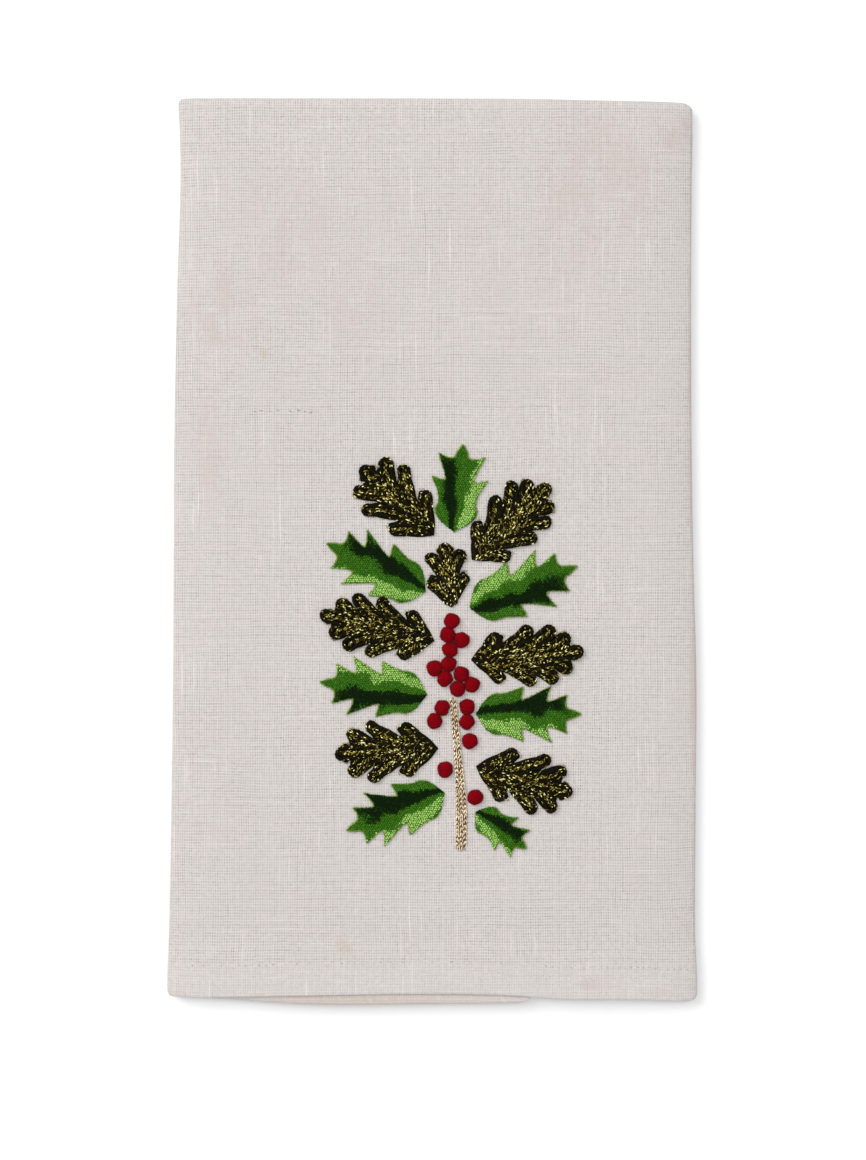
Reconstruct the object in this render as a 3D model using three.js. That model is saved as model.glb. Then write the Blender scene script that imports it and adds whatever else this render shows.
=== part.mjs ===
// Tea towel of slubbed plain cloth, its sides folded behind and then folded in half,
// with a holly sprig worked in cord, chenille and metallic thread on the face that lies on top.
// Millimetres, +Z up. The towel lies on its back half, and the sprig's stem points to -Y.

import * as THREE from 'three';
import { mergeVertices } from 'three/addons/utils/BufferGeometryUtils.js';

// Cut size of the cloth, its thickness, and its hems
const CUT_WIDTH = 508;
const CUT_LENGTH = 711;
const CLOTH = 1.0;
const HEM_CLOTH = 1.12;
const HEM_DEPTH = 12.7;
const HEM_STEP = 1.2;

// Air between the layers, and where the stack grows to make room for the hems
const LAYER_GAP = 0.32;
const MIDDLE_GAP = 0.34;
const HEM_ROOM_FROM = -160;
const HEM_ROOM_EASE = 5;

// The stack from the middle fold, along the top, to the hems, along the bottom
const FOLD_LINE = 179.5;
const FRONT_HEM = -176.6;
const FRONT_LENGTH = FOLD_LINE - FRONT_HEM;
const FOLD_TAKE = 2.2;
const BACK_LENGTH = CUT_LENGTH - FRONT_LENGTH - FOLD_TAKE;
const BACK_HEM = FOLD_LINE - BACK_LENGTH;
const BACK_INSET = 0.9;

// Panels across the stack, and how sharply the front face falls to its side edges
const FRONT_WIDTH = 204;
const LEFT_FLAP_WIDTH = 146;
const RIGHT_FLAP_WIDTH = CUT_WIDTH - FRONT_WIDTH - LEFT_FLAP_WIDTH;
const CREST_POWER = 6;
const FLAP_CLEARANCE = 2;

// Left and right edges of the front panel, from the middle fold down to the hem
const SIDE_EDGES = [
  { y: 180, left: -100.7, right: 102.9 },
  { y: 168, left: -100.1, right: 103.0 },
  { y: 146, left: -99.9, right: 102.7 },
  { y: 100, left: -101.3, right: 102.5 },
  { y: 44, left: -102.3, right: 102.7 },
  { y: 0, left: -102.5, right: 103.4 },
  { y: -50, left: -102.8, right: 104.6 },
  { y: -100, left: -103.4, right: 104.3 },
  { y: -150, left: -104.3, right: 104.1 },
  { y: -166, left: -104.9, right: 104.8 },
  { y: -180, left: -105.1, right: 105.1 },
];

// Width of the left flap, which the slant of its fold makes narrower towards the hem
const LEFT_FLAP_WIDTHS = [
  { y: 180, width: 148.7 },
  { y: -180, width: 143.6 },
];

// Hem of the front panel, of the left flap that shows below it and of the right flap behind
const FRONT_HEM_LINE = [
  { x: -105, y: -176.3 },
  { x: -92, y: -176.6 },
  { x: -50, y: -175.9 },
  { x: -13, y: -175.2 },
  { x: 25, y: -175.5 },
  { x: 52, y: -177.2 },
  { x: 80, y: -177.4 },
  { x: 101, y: -178.2 },
  { x: 105, y: -177.4 },
];
const LEFT_FLAP_HEM_LINE = [
  { x: -105, y: -176.3 },
  { x: -80, y: -177.3 },
  { x: -62, y: -178.6 },
  { x: -40, y: -179.5 },
  { x: 0, y: -179.1 },
  { x: 33, y: -178.8 },
  { x: 36, y: -178.4 },
  { x: 40, y: -176.8 },
];
const RIGHT_FLAP_HEM_LINE = [
  { x: -55, y: -173.8 },
  { x: 60, y: -175.4 },
  { x: 100, y: -177.8 },
  { x: 105, y: -177.4 },
];

// Droop of the middle fold towards the right
const FOLD_DROOP = [
  { x: -105, drop: 0.0 },
  { x: 30, drop: 0.2 },
  { x: 62, drop: 0.8 },
  { x: 92, drop: 1.5 },
  { x: 105, drop: 2.0 },
];
const LEFT_CORNER_ROUND = 0.9;
const RIGHT_CORNER_ROUND = 3.4;
const HEM_CORNER_ROUND = 1.6;
const HEM_CORNER_RISE = 3;

// Soft swells of the upper half: centre, half sizes, turn in degrees and rise
const SWELLS = [
  { x: 93, y: 171, across: 15, along: 11, turn: 20, rise: 0.9 },
  { x: 76, y: 128, across: 12, along: 46, turn: -10, rise: 0.45 },
  { x: 34, y: 136, across: 14, along: 50, turn: -14, rise: 0.3 },
  { x: -60, y: 60, across: 40, along: 60, turn: -20, rise: 0.25 },
  { x: 60, y: -145, across: 45, along: 26, turn: 0, rise: 0.3 },
  { x: -55, y: -150, across: 34, along: 24, turn: 4, rise: 0.2 },
];

// Mesh steps along and across the cloth
const FOLD_STEPS = 8;
const EDGE_STEPS = 6;
const EDGE_OFFSETS = [2.5, 6, 11, 18, 28];
const FLAP_EDGE_OFFSETS = [1.5, 4.5];
const FRONT_MIDDLE_STEPS = 7;
const FLAP_MIDDLE_STEPS = 5;
const FRONT_ROW_STEPS = 14;
const FRONT_TOP_OFFSETS = [26, 17, 10, 4];
const BACK_ROW_STEPS = 7;
const BACK_TOP_OFFSETS = [4];

// Sprig: how high its pieces stand over the cloth
const SEAT_GAP = 0.3;
const LEAF_HEIGHT = { lobed: 1.5, toothed: 1.7 };
const PIECE_BEVEL = 0.45;
const BERRY_RADIUS = 2.75;
const BERRY_HEIGHT = 2.9;
const BERRY_PITCH = 5.85;
const BERRY_SIDES = 12;
const BERRY_RINGS = 3;
const BERRY_FOOT = 0.8 * BERRY_RADIUS;
const BERRY_SHOULDER = 0.3 * BERRY_HEIGHT;
const STEM_HEIGHT = 1.3;
const STEM_STEPS = 9;
const STEM_FOOT_STEPS = 6;

// The two leaf forms: how deep their lobes or teeth cut and the bare share before the first, how they
// bunch towards the foot, their forward lean with its share at the foot and its fading at the tip, how
// full the blade is at its foot and at its tip, and the part of a wave that the tip takes
const LEAF_FORMS = {
  lobed: {
    depth: 0.52, bare: 0.12, bunch: 0.8, lean: 48, leanFoot: 0.8, leanFade: 4, fullFoot: 0.58,
    fullTip: 0.9, waist: 0.62, tipWave: 0.5, steps: 8, wave: (s) => s ** 0.5,
  },
  toothed: {
    depth: 0.5, bare: 0.2, bunch: 0.8, lean: 48, leanFoot: 0.65, leanFade: 6, fullFoot: 0.5,
    fullTip: 1.25, waist: 0.64, tipWave: 1, steps: 8, wave: (s) => (1 - s) ** 0.8,
  },
};
const LEAN_FULL_FROM = 0.2;

// Leaves of the sprig: lobes or teeth a side, foot of the leaf, turn from straight up, clockwise, and size
const LEAVES = [
  { name: 'leaf_green_1', form: 'toothed', lobes: 2, x: 8.5, y: 7.4, turn: 6, length: 35, width: 34 },
  { name: 'leaf_dark_1', form: 'lobed', lobes: 3, x: 0.8, y: 6, turn: -47, length: 40, width: 37 },
  { name: 'leaf_dark_2', form: 'lobed', lobes: 4, x: 15.4, y: -3.7, turn: 46, length: 43, width: 36 },
  { name: 'leaf_dark_3', form: 'lobed', lobes: 2, x: 7.4, y: -22.5, turn: -6, length: 26, width: 25 },
  { name: 'leaf_green_2', form: 'toothed', lobes: 3, x: -2.5, y: -16.2, turn: -64, length: 44, width: 36 },
  { name: 'leaf_green_3', form: 'toothed', lobes: 3, x: 14.5, y: -22.5, turn: 69, length: 46, width: 36 },
  { name: 'leaf_dark_4', form: 'lobed', lobes: 4, x: 1, y: -35.6, turn: -77, length: 47, width: 35 },
  { name: 'leaf_dark_5', form: 'lobed', lobes: 4, x: 15, y: -43, turn: 86, length: 45, width: 35 },
  { name: 'leaf_green_4', form: 'toothed', lobes: 3, x: -2, y: -57, turn: -83, length: 43, width: 35 },
  { name: 'leaf_green_5', form: 'toothed', lobes: 3, x: 17, y: -64.5, turn: 90, length: 42, width: 34 },
  { name: 'leaf_dark_6', form: 'lobed', lobes: 3, x: 2.5, y: -78, turn: -93, length: 41, width: 35 },
  { name: 'leaf_dark_7', form: 'lobed', lobes: 3, x: 17, y: -85, turn: 106, length: 40, width: 35 },
  { name: 'leaf_green_6', form: 'toothed', lobes: 3, x: 5, y: -95.5, turn: -111, length: 42, width: 34 },
  { name: 'leaf_green_7', form: 'toothed', lobes: 2, x: 17, y: -103, turn: 126, length: 25, width: 24 },
];

// Bunches of berries: centre, turn of the first berry and how many touch round it
const BERRY_BUNCHES = [
  { x: 7.6, y: -27.7, turn: 0, count: 1 },
  { x: 8.2, y: -35.8, turn: 10, count: 3 },
  { x: 4.0, y: -47.2, turn: 45, count: 3 },
  { x: 12.3, y: -52.0, turn: -15, count: 3 },
  { x: 13.6, y: -64.6, turn: 90, count: 2 },
  { x: 2.2, y: -64.6, turn: 60, count: 2 },
  { x: 14.7, y: -75.2, turn: 0, count: 1 },
  { x: 5.0, y: -86.4, turn: 0, count: 1 },
  { x: 16.9, y: -97.4, turn: 0, count: 1 },
];

// Stem: its middle line from the foot up, and its width
const STEM_LINE = [
  { x: 11.2, y: -118.9, width: 5.0 },
  { x: 11.4, y: -100.0, width: 4.4 },
  { x: 10.0, y: -80.0, width: 3.4 },
  { x: 8.0, y: -58.0, width: 2.8 },
];

// Looks of the pieces
const FINISHES = {
  cloth: { color: 0xd5d0cc, roughness: 0.95, metalness: 0 },
  lobed: { color: 0x37330f, roughness: 0.45, metalness: 0.35 },
  toothed: { color: 0x2f7d24, roughness: 0.95, metalness: 0 },
  berry: { color: 0x9c0518, roughness: 0.9, metalness: 0 },
  stem: { color: 0xc9a878, roughness: 0.4, metalness: 0.5 },
};

// Points nearer than this are one point
const MERGE = 1e-3;

const { degToRad, lerp, clamp } = THREE.MathUtils;

// Smooth reading of one column of a table whose rows run along another
function read(table, along, column, at) {
  const rising = table[0][along] < table[table.length - 1][along] ? table : [...table].reverse();
  const last = rising.length - 1;
  const place = clamp(at, rising[0][along], rising[last][along]);
  let row = 0;
  while (row < last - 1 && rising[row + 1][along] < place) row += 1;
  const slope = (i) => {
    const before = rising[Math.max(i - 1, 0)];
    const after = rising[Math.min(i + 1, last)];
    return (after[column] - before[column]) / (after[along] - before[along]);
  };
  const a = rising[row];
  const b = rising[row + 1];
  const span = b[along] - a[along];
  const f = (place - a[along]) / span;
  const rise = b[column] - a[column];
  const bendA = slope(row) * span - rise;
  const bendB = rise - slope(row + 1) * span;
  return lerp(a[column], b[column], f) + f * (1 - f) * (bendA * (1 - f) + bendB * f);
}

// Rise of the front face at a place, over a flat stack
function swell(x, y) {
  let rise = 0;
  for (const s of SWELLS) {
    const turn = degToRad(s.turn);
    const across = ((x - s.x) * Math.cos(turn) + (y - s.y) * Math.sin(turn)) / s.across;
    const along = ((y - s.y) * Math.cos(turn) - (x - s.x) * Math.sin(turn)) / s.along;
    rise += s.rise * Math.exp(-(across * across + along * along));
  }
  return rise;
}

// Side edges of the front panel and free edges of the flaps behind it, drawn in a little where asked
function sideEdges(y, leftInset = 0, rightInset = 0) {
  const left = read(SIDE_EDGES, 'y', 'left', y);
  const right = read(SIDE_EDGES, 'y', 'right', y);
  const leftFlap = read(LEFT_FLAP_WIDTHS, 'y', 'width', y);
  const rightFlap = CUT_WIDTH - leftFlap - (right - left);
  return {
    left: left + leftInset,
    right: right - rightInset,
    leftFree: left + leftFlap,
    rightFree: right - rightFlap,
  };
}

// Share of the third layer that holds the front face up: full in the middle, none at the edges
function crest(x, { left, right, leftFree, rightFree }) {
  const fromLeft = clamp((x - left) / (rightFree - FLAP_CLEARANCE - left), 0, 1);
  const fromRight = clamp((right - x) / (right - leftFree - FLAP_CLEARANCE), 0, 1);
  return 1 - (1 - fromLeft) ** CREST_POWER - (1 - fromRight) ** CREST_POWER;
}

// Room that one layer takes in the stack, which is more along the hems
function layerRoom(y) {
  const f = clamp((y - HEM_ROOM_FROM) / HEM_ROOM_EASE, 0, 1);
  return lerp(HEM_CLOTH, CLOTH, f);
}

// Height of the whole stack between its side edges
function stackHeight(x, y, edges) {
  const room = layerRoom(y);
  const pitch = room + LAYER_GAP;
  const side = 2 * (pitch + room) + MIDDLE_GAP;
  return side + 2 * pitch * crest(x, edges) + swell(x, y);
}

// Height of the front face, where the sprig is worked
function frontFace(x, y) {
  return stackHeight(x, y, sideEdges(y));
}

// Distances from 0 to 1 between two ends, with small steps listed from either end
function stations(length, nearStart, middleSteps, nearEnd) {
  const start = nearStart.map((d) => d / length);
  const end = nearEnd.map((d) => 1 - d / length);
  const from = start.length ? start[start.length - 1] : 0;
  const to = end.length ? end[0] : 1;
  const middle = [];
  for (let i = 1; i < middleSteps; i += 1) middle.push(lerp(from, to, i / middleSteps));
  return [0, ...start, ...middle, ...end, 1];
}

// Columns across the cloth, from the left flap's free edge to the right flap's
function clothColumns() {
  const inward = [...EDGE_OFFSETS].reverse();
  const panels = [
    { panel: 'leftFlap', places: stations(LEFT_FLAP_WIDTH, FLAP_EDGE_OFFSETS, FLAP_MIDDLE_STEPS, inward) },
    { panel: 'leftFold', places: stations(1, [], EDGE_STEPS, []) },
    { panel: 'front', places: stations(FRONT_WIDTH, EDGE_OFFSETS, FRONT_MIDDLE_STEPS, inward) },
    { panel: 'rightFold', places: stations(1, [], EDGE_STEPS, []) },
    { panel: 'rightFlap', places: stations(RIGHT_FLAP_WIDTH, EDGE_OFFSETS, FLAP_MIDDLE_STEPS, []) },
  ];
  return panels.flatMap(({ panel, places }, i) =>
    places.slice(i ? 1 : 0).map((place) => ({ panel, place })));
}

// Rows along the cloth, from the front hem over the middle fold to the back hem
function clothRows() {
  const hem = [HEM_DEPTH - HEM_STEP / 2, HEM_DEPTH + HEM_STEP / 2];
  const halves = [
    {
      half: 'front',
      places: stations(FRONT_LENGTH, [HEM_CORNER_RISE, ...hem], FRONT_ROW_STEPS, FRONT_TOP_OFFSETS),
    },
    { half: 'fold', places: stations(1, [], FOLD_STEPS, []) },
    { half: 'back', places: stations(BACK_LENGTH, BACK_TOP_OFFSETS, BACK_ROW_STEPS, [...hem].reverse()) },
  ];
  return halves.flatMap(({ half, places }, i) =>
    places.slice(i ? 1 : 0).map((place) => ({ half, place })));
}

// Cloth thickness at a distance from a hem
function clothAt(fromHem) {
  const f = clamp((fromHem - HEM_DEPTH + HEM_STEP / 2) / HEM_STEP, 0, 1);
  return lerp(HEM_CLOTH, CLOTH, f);
}

// Hem line that each panel of the front half ends on
const HEM_LINES = {
  leftFlap: LEFT_FLAP_HEM_LINE,
  leftFold: LEFT_FLAP_HEM_LINE,
  front: FRONT_HEM_LINE,
  rightFold: FRONT_HEM_LINE,
  rightFlap: RIGHT_FLAP_HEM_LINE,
};

// Place across the stack, and depth below its outer face, of one skin of the cloth
function section(panel, across, skin, edges, room, innermost) {
  const pitch = room + LAYER_GAP;
  const leftBend = (pitch + room) / 2;
  const rightBend = (innermost(edges.right - leftBend) + room) / 2;
  if (panel === 'leftFlap') {
    return { x: lerp(edges.leftFree, edges.left + leftBend, across), depth: pitch + room - skin };
  }
  if (panel === 'leftFold') {
    const bend = Math.PI * (1 - across);
    return {
      x: edges.left + leftBend - (leftBend - skin) * Math.sin(bend),
      depth: leftBend - (leftBend - skin) * Math.cos(bend),
    };
  }
  if (panel === 'front') {
    return { x: lerp(edges.left + leftBend, edges.right - rightBend, across), depth: skin };
  }
  if (panel === 'rightFold') {
    const bend = Math.PI * across;
    return {
      x: edges.right - rightBend + (rightBend - skin) * Math.sin(bend),
      depth: rightBend - (rightBend - skin) * Math.cos(bend),
    };
  }
  const x = lerp(edges.right - rightBend, edges.rightFree, across);
  return { x, depth: innermost(x) + room - skin };
}

// Where a point of the flat cloth lies once folded: its column, its row and its depth in the sheet
function fold({ panel, place: across }, { half, place: along }, inner) {
  const turn = half === 'fold' ? Math.PI * along : 0;
  const behind = half === 'back' ? along : 0;
  const fromFold = { front: 1 - along, fold: 0, back: along }[half];
  const hem = half === 'back' ? BACK_HEM : FRONT_HEM;
  const row = lerp(FOLD_LINE, hem, fromFold);

  // Side edges at this row, rounded in at the corners of the middle fold and of the hem
  const tuck = 1 - Math.abs(Math.cos(turn));
  const fromHem = (1 - fromFold) * (FOLD_LINE - hem);
  const inset = BACK_INSET * behind + HEM_CORNER_ROUND * Math.max(1 - fromHem / HEM_CORNER_RISE, 0);
  const edges = sideEdges(row, inset + LEFT_CORNER_ROUND * tuck, inset + RIGHT_CORNER_ROUND * tuck);
  const room = layerRoom(row);
  const height = (x) => stackHeight(x, row, edges);
  const innermost = (x) => (height(x) - MIDDLE_GAP) / 2 - room;
  const skin = inner * clothAt(fromHem);
  const { x, depth } = section(panel, across, skin, edges, room, innermost);

  // Then the whole stack is folded in half behind itself
  const radius = height(x) / 2;
  const top = FOLD_LINE - read(FOLD_DROOP, 'x', 'drop', x) - radius;
  if (half === 'fold') {
    return [x, top + (radius - depth) * Math.sin(turn), radius + (radius - depth) * Math.cos(turn)];
  }
  if (half === 'back') return [x, lerp(top, BACK_HEM, along), depth];
  return [x, lerp(read(HEM_LINES[panel], 'x', 'y', x), top, along), 2 * radius - depth];
}

// Mesh from a geometry, as one closed skin
function piece(name, geometry, finish) {
  geometry.deleteAttribute('normal');
  geometry.deleteAttribute('uv');
  const closed = mergeVertices(geometry, MERGE);
  closed.computeVertexNormals();
  const mesh = new THREE.Mesh(closed, new THREE.MeshStandardMaterial(FINISHES[finish]));
  mesh.name = name;
  return mesh;
}

// The towel: a flat sheet of the cut cloth, every point of it carried to its place in the folds
function towel() {
  const columns = clothColumns();
  const rows = clothRows();
  const acrossSteps = columns.length - 1;
  const alongSteps = rows.length - 1;
  const sheet = new THREE.BoxGeometry(1, 1, 1, acrossSteps, alongSteps, 1);
  const points = sheet.getAttribute('position');
  for (let i = 0; i < points.count; i += 1) {
    const column = columns[Math.round((points.getX(i) + 0.5) * acrossSteps)];
    const row = rows[Math.round((points.getY(i) + 0.5) * alongSteps)];
    points.setXYZ(i, ...fold(column, row, 0.5 - points.getZ(i)));
  }
  return piece('towel', sheet, 'cloth');
}

// Outline of a leaf with its foot at the origin and its tip up, from the form's wave of lobes or teeth
function leafShape({ form, lobes, length, width }) {
  const { depth, bare, bunch, lean, leanFoot, leanFade, fullFoot, fullTip, waist, tipWave, steps, wave } =
    LEAF_FORMS[form];
  const waves = lobes + tipWave;
  const total = Math.round(waves * steps);
  const edge = (side) => {
    const points = [];
    for (let i = 0; i <= total; i += 1) {
      const t = (i / total) ** (1 / bunch);
      const fullness = lerp(fullFoot, fullTip, t);
      const blade = i === 0 || i === total ? 0 : Math.sin(Math.PI * t ** waist) ** fullness;
      const cut = depth * Math.min(t / bare, 1);
      const crest = wave(Math.abs(Math.sin((Math.PI * waves * i) / total)));
      const out = (blade * width * (1 - cut + cut * crest)) / 2;
      const rising = lerp(leanFoot, 1, Math.min(t / LEAN_FULL_FROM, 1));
      const forward = degToRad(lean) * rising * (1 - t ** leanFade);
      points.push(new THREE.Vector2(side * out * Math.cos(forward), length * t + out * Math.sin(forward)));
    }
    return points;
  };
  return new THREE.Shape([...edge(1), ...edge(-1).reverse().slice(1, -1)]);
}

// Low pad over a flat outline, with its rim eased off
function pad(shape, height) {
  const geometry = new THREE.ExtrudeGeometry(shape, {
    depth: height - 2 * PIECE_BEVEL,
    bevelThickness: PIECE_BEVEL,
    bevelSize: PIECE_BEVEL,
    bevelOffset: -PIECE_BEVEL,
    bevelSegments: 1,
    curveSegments: 4,
  });
  return geometry.translate(0, 0, PIECE_BEVEL);
}

// Lays a piece that was made flat over the front face of the towel
function laid(geometry) {
  const points = geometry.getAttribute('position');
  for (let i = 0; i < points.count; i += 1) {
    points.setZ(i, points.getZ(i) + SEAT_GAP + frontFace(points.getX(i), points.getY(i)));
  }
  return geometry;
}

function leaf(row) {
  const geometry = pad(leafShape(row), LEAF_HEIGHT[row.form]);
  geometry.rotateZ(-degToRad(row.turn)).translate(row.x, row.y, 0);
  return piece(row.name, laid(geometry), row.form);
}

// Berries of one bunch, each a low dome that touches its neighbours all but a hair
function berries({ x, y, turn, count }, first) {
  const reach = count === 1 ? 0 : BERRY_PITCH / 2 / Math.sin(Math.PI / count);
  const profile = [new THREE.Vector2(0, 0), new THREE.Vector2(BERRY_FOOT, 0)];
  for (let i = 0; i <= BERRY_RINGS; i += 1) {
    const rise = (Math.PI / 2) * (i / BERRY_RINGS);
    profile.push(new THREE.Vector2(
      i === BERRY_RINGS ? 0 : BERRY_RADIUS * Math.cos(rise),
      BERRY_SHOULDER + (BERRY_HEIGHT - BERRY_SHOULDER) * Math.sin(rise),
    ));
  }
  return Array.from({ length: count }, (_, i) => {
    const bearing = degToRad(turn + (360 * i) / count);
    const dome = new THREE.LatheGeometry(profile, BERRY_SIDES);
    dome.rotateX(Math.PI / 2);
    dome.translate(x + reach * Math.cos(bearing), y + reach * Math.sin(bearing), 0);
    return piece(`berry_${String(first + i).padStart(2, '0')}`, laid(dome), 'berry');
  });
}

// Stem: a tapering band along its middle line, with a round foot
function stem() {
  const foot = STEM_LINE[0];
  const head = STEM_LINE[STEM_LINE.length - 1];
  const round = foot.width / 2;
  const rightSide = [];
  const leftSide = [];
  for (let i = 0; i <= STEM_STEPS; i += 1) {
    const y = lerp(foot.y + round, head.y, i / STEM_STEPS);
    const x = read(STEM_LINE, 'y', 'x', y);
    const half = read(STEM_LINE, 'y', 'width', y) / 2;
    rightSide.push(new THREE.Vector2(x + half, y));
    leftSide.unshift(new THREE.Vector2(x - half, y));
  }
  const toe = [];
  for (let i = 1; i < STEM_FOOT_STEPS; i += 1) {
    const bearing = Math.PI * (1 + i / STEM_FOOT_STEPS);
    toe.push(new THREE.Vector2(
      foot.x + round * Math.cos(bearing),
      foot.y + round + round * Math.sin(bearing),
    ));
  }
  const shape = new THREE.Shape([...rightSide, ...leftSide, ...toe]);
  return piece('stem', laid(pad(shape, STEM_HEIGHT)), 'stem');
}

const teaTowel = new THREE.Group();
teaTowel.name = 'tea_towel';
teaTowel.add(towel());
for (const row of LEAVES) teaTowel.add(leaf(row));
let berryCount = 1;
for (const bunch of BERRY_BUNCHES) {
  const domes = berries(bunch, berryCount);
  teaTowel.add(...domes);
  berryCount += domes.length;
}
teaTowel.add(stem());

export default teaTowel;
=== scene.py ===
# Folded tea towel of slubbed plain cloth with a holly sprig worked on its face.
# Tables and shapes are in millimetres, and every vertex is scaled by MM where it is placed.
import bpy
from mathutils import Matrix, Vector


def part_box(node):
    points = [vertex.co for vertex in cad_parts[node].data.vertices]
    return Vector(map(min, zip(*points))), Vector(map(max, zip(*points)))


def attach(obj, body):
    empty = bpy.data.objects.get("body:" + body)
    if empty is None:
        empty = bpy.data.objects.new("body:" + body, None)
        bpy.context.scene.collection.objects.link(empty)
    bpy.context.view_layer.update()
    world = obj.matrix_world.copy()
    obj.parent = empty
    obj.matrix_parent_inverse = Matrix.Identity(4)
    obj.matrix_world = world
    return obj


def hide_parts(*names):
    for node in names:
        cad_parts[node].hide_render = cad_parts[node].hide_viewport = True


bl_info = {
    "name": "Folded tea towel with a holly sprig",
    "version": (1, 0, 0),
    "blender": (4, 5, 0),
    "location": "3D View > Sidebar > Tea towel",
    "description": "Folds the cloth and works its hem stitches, leaves, berries and stem",
    "category": "Object",
}

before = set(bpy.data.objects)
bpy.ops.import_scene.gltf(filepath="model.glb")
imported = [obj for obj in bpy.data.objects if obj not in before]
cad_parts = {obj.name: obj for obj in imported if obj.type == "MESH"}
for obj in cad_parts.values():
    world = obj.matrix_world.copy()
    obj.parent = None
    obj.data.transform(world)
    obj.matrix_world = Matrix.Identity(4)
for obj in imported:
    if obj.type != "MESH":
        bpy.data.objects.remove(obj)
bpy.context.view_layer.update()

import random
from functools import cache
from math import atan2, copysign, cos, exp, hypot, pi, radians, sin, sqrt
from types import SimpleNamespace

import bmesh
import bpy
import numpy as np
from bpy.props import FloatProperty, FloatVectorProperty, PointerProperty
from mathutils import Matrix, Vector, noise
from mathutils.bvhtree import BVHTree

BODY = "root"
MM = 0.001


def rows(columns, *values):
    """A short table with its columns named."""
    return [SimpleNamespace(**dict(zip(columns.split(), row))) for row in values]


# The stack from the middle fold to the hems, with the air and the room that its layers take
FOLD_LINE = 179.5
FRONT_HEM = -176.6
FOLD_TAKE = 2.2
BACK_INSET = 0.9
LAYER_ROOM = 1.0
HEM_ROOM = 1.12
HEM_ROOM_FROM = -160
HEM_ROOM_EASE = 5
HEM_STEP = 1.2
LAYER_GAP = 0.32
MIDDLE_GAP = 0.34
FRONT_WIDTH = 204
LEFT_FLAP_WIDTH = 146
CREST_POWER = 6
FLAP_CLEARANCE = 2

# Left and right edges of the front panel, and the width of the left flap behind it
SIDE_EDGES = rows(
    "y left right",
    (180, -100.7, 102.9), (168, -100.1, 103.0), (146, -99.9, 102.7), (100, -101.3, 102.5),
    (44, -102.3, 102.7), (0, -102.5, 103.4), (-50, -102.8, 104.6), (-100, -103.4, 104.3),
    (-150, -104.3, 104.1), (-166, -104.9, 104.8), (-180, -105.1, 105.1),
)
LEFT_FLAP_WIDTHS = rows("y width", (180, 148.7), (-180, 143.6))

# Hem of the front panel, of the left flap that shows below it and of the right flap behind
FRONT_HEM_LINE = rows(
    "x y",
    (-105, -176.3), (-92, -176.6), (-50, -175.9), (-13, -175.2), (25, -175.5), (52, -177.2),
    (80, -177.4), (101, -178.2), (105, -177.4),
)
LEFT_FLAP_HEM_LINE = rows(
    "x y",
    (-105, -176.3), (-80, -177.3), (-62, -178.6), (-40, -179.5), (0, -179.1), (33, -178.8),
    (36, -178.4), (40, -176.8),
)
RIGHT_FLAP_HEM_LINE = rows("x y", (-55, -173.8), (60, -175.4), (100, -177.8), (105, -177.4))
HEM_LINES = {
    "left flap": LEFT_FLAP_HEM_LINE,
    "left fold": LEFT_FLAP_HEM_LINE,
    "front": FRONT_HEM_LINE,
    "right fold": FRONT_HEM_LINE,
    "right flap": RIGHT_FLAP_HEM_LINE,
}

# Droop of the middle fold towards the right, and how its corners and those of the hem round in
FOLD_DROOP = rows("x drop", (-105, 0.0), (30, 0.2), (62, 0.8), (92, 1.5), (105, 2.0))
LEFT_CORNER_ROUND = 0.9
RIGHT_CORNER_ROUND = 3.4
HEM_CORNER_ROUND = 1.6
HEM_CORNER_RISE = 3

# Soft swells of the whole stack, then shallow creases and waves of the front panel alone
SWELLS = rows(
    "x y across along turn rise",
    (93, 171, 15, 11, 20, 0.9), (76, 128, 12, 46, -10, 0.45), (34, 136, 14, 50, -14, 0.3),
    (-60, 60, 40, 60, -20, 0.25), (60, -145, 45, 26, 0, 0.3), (-55, -150, 34, 24, 4, 0.2),
)
CREASES = rows(
    "x y across along turn rise",
    (58, 131, 3.0, 38, -12.5, 0.22), (63, 130, 4.0, 34, -12.5, -0.2), (97, 168, 6.0, 3.0, 40, 0.4),
    (95, 162, 8.0, 3.5, 34, -0.5), (-20, 150, 3.5, 30, 3, 0.1), (-88, 20, 4.0, 60, 1, 0.1),
    (86, -120, 4.0, 40, -4, 0.12), (30, -160, 30, 3.5, 2, 0.12),
)
WAVES = rows("span rise", (46, 0.16), (17, 0.07))
WAVE_FADE = 9

# Rows and columns of the cloth's mesh
EDGE_OFFSETS = [1.2, 2.6, 4.2, 6, 8.2, 11, 14.5, 18.5, 23.5]
FLAP_EDGE_OFFSETS = [0.5, 1.5, 3, 5]
HEM_OFFSETS = [0.08, 0.22, 0.45, 0.9, 1.6, 2.4, 3.4, 5, 8, 11, 12.1, 12.7, 13.3, 15]
TOP_OFFSETS = [26, 20, 15, 11, 8, 5.5, 3.5, 1.7]
EDGE_STEPS = 10
FOLD_STEPS = 14
FRONT_COLUMN_STEPS = 46
FLAP_COLUMN_STEPS = 22
FRONT_ROW_STEPS = 104
BACK_ROW_STEPS = 50

# The two leaf forms: how deep their lobes or teeth cut and the bare share before the first, how they
# bunch towards the foot, their forward lean with its share at the foot and its fading at the tip, how
# full the blade is at its foot and at its tip, and the part of a wave that the tip takes
LEAF_FORMS = {
    "lobed": SimpleNamespace(
        depth=0.52, bare=0.12, bunch=0.8, lean=48, lean_foot=0.8, lean_fade=4, full_foot=0.58,
        full_tip=0.9, waist=0.62, tip_wave=0.5, wave=lambda s: s**0.5,
    ),
    "toothed": SimpleNamespace(
        depth=0.5, bare=0.2, bunch=0.8, lean=48, lean_foot=0.65, lean_fade=6, full_foot=0.5,
        full_tip=1.25, waist=0.64, tip_wave=1, wave=lambda s: (1 - s) ** 0.8,
    ),
}
LEAN_FULL_FROM = 0.2

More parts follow.
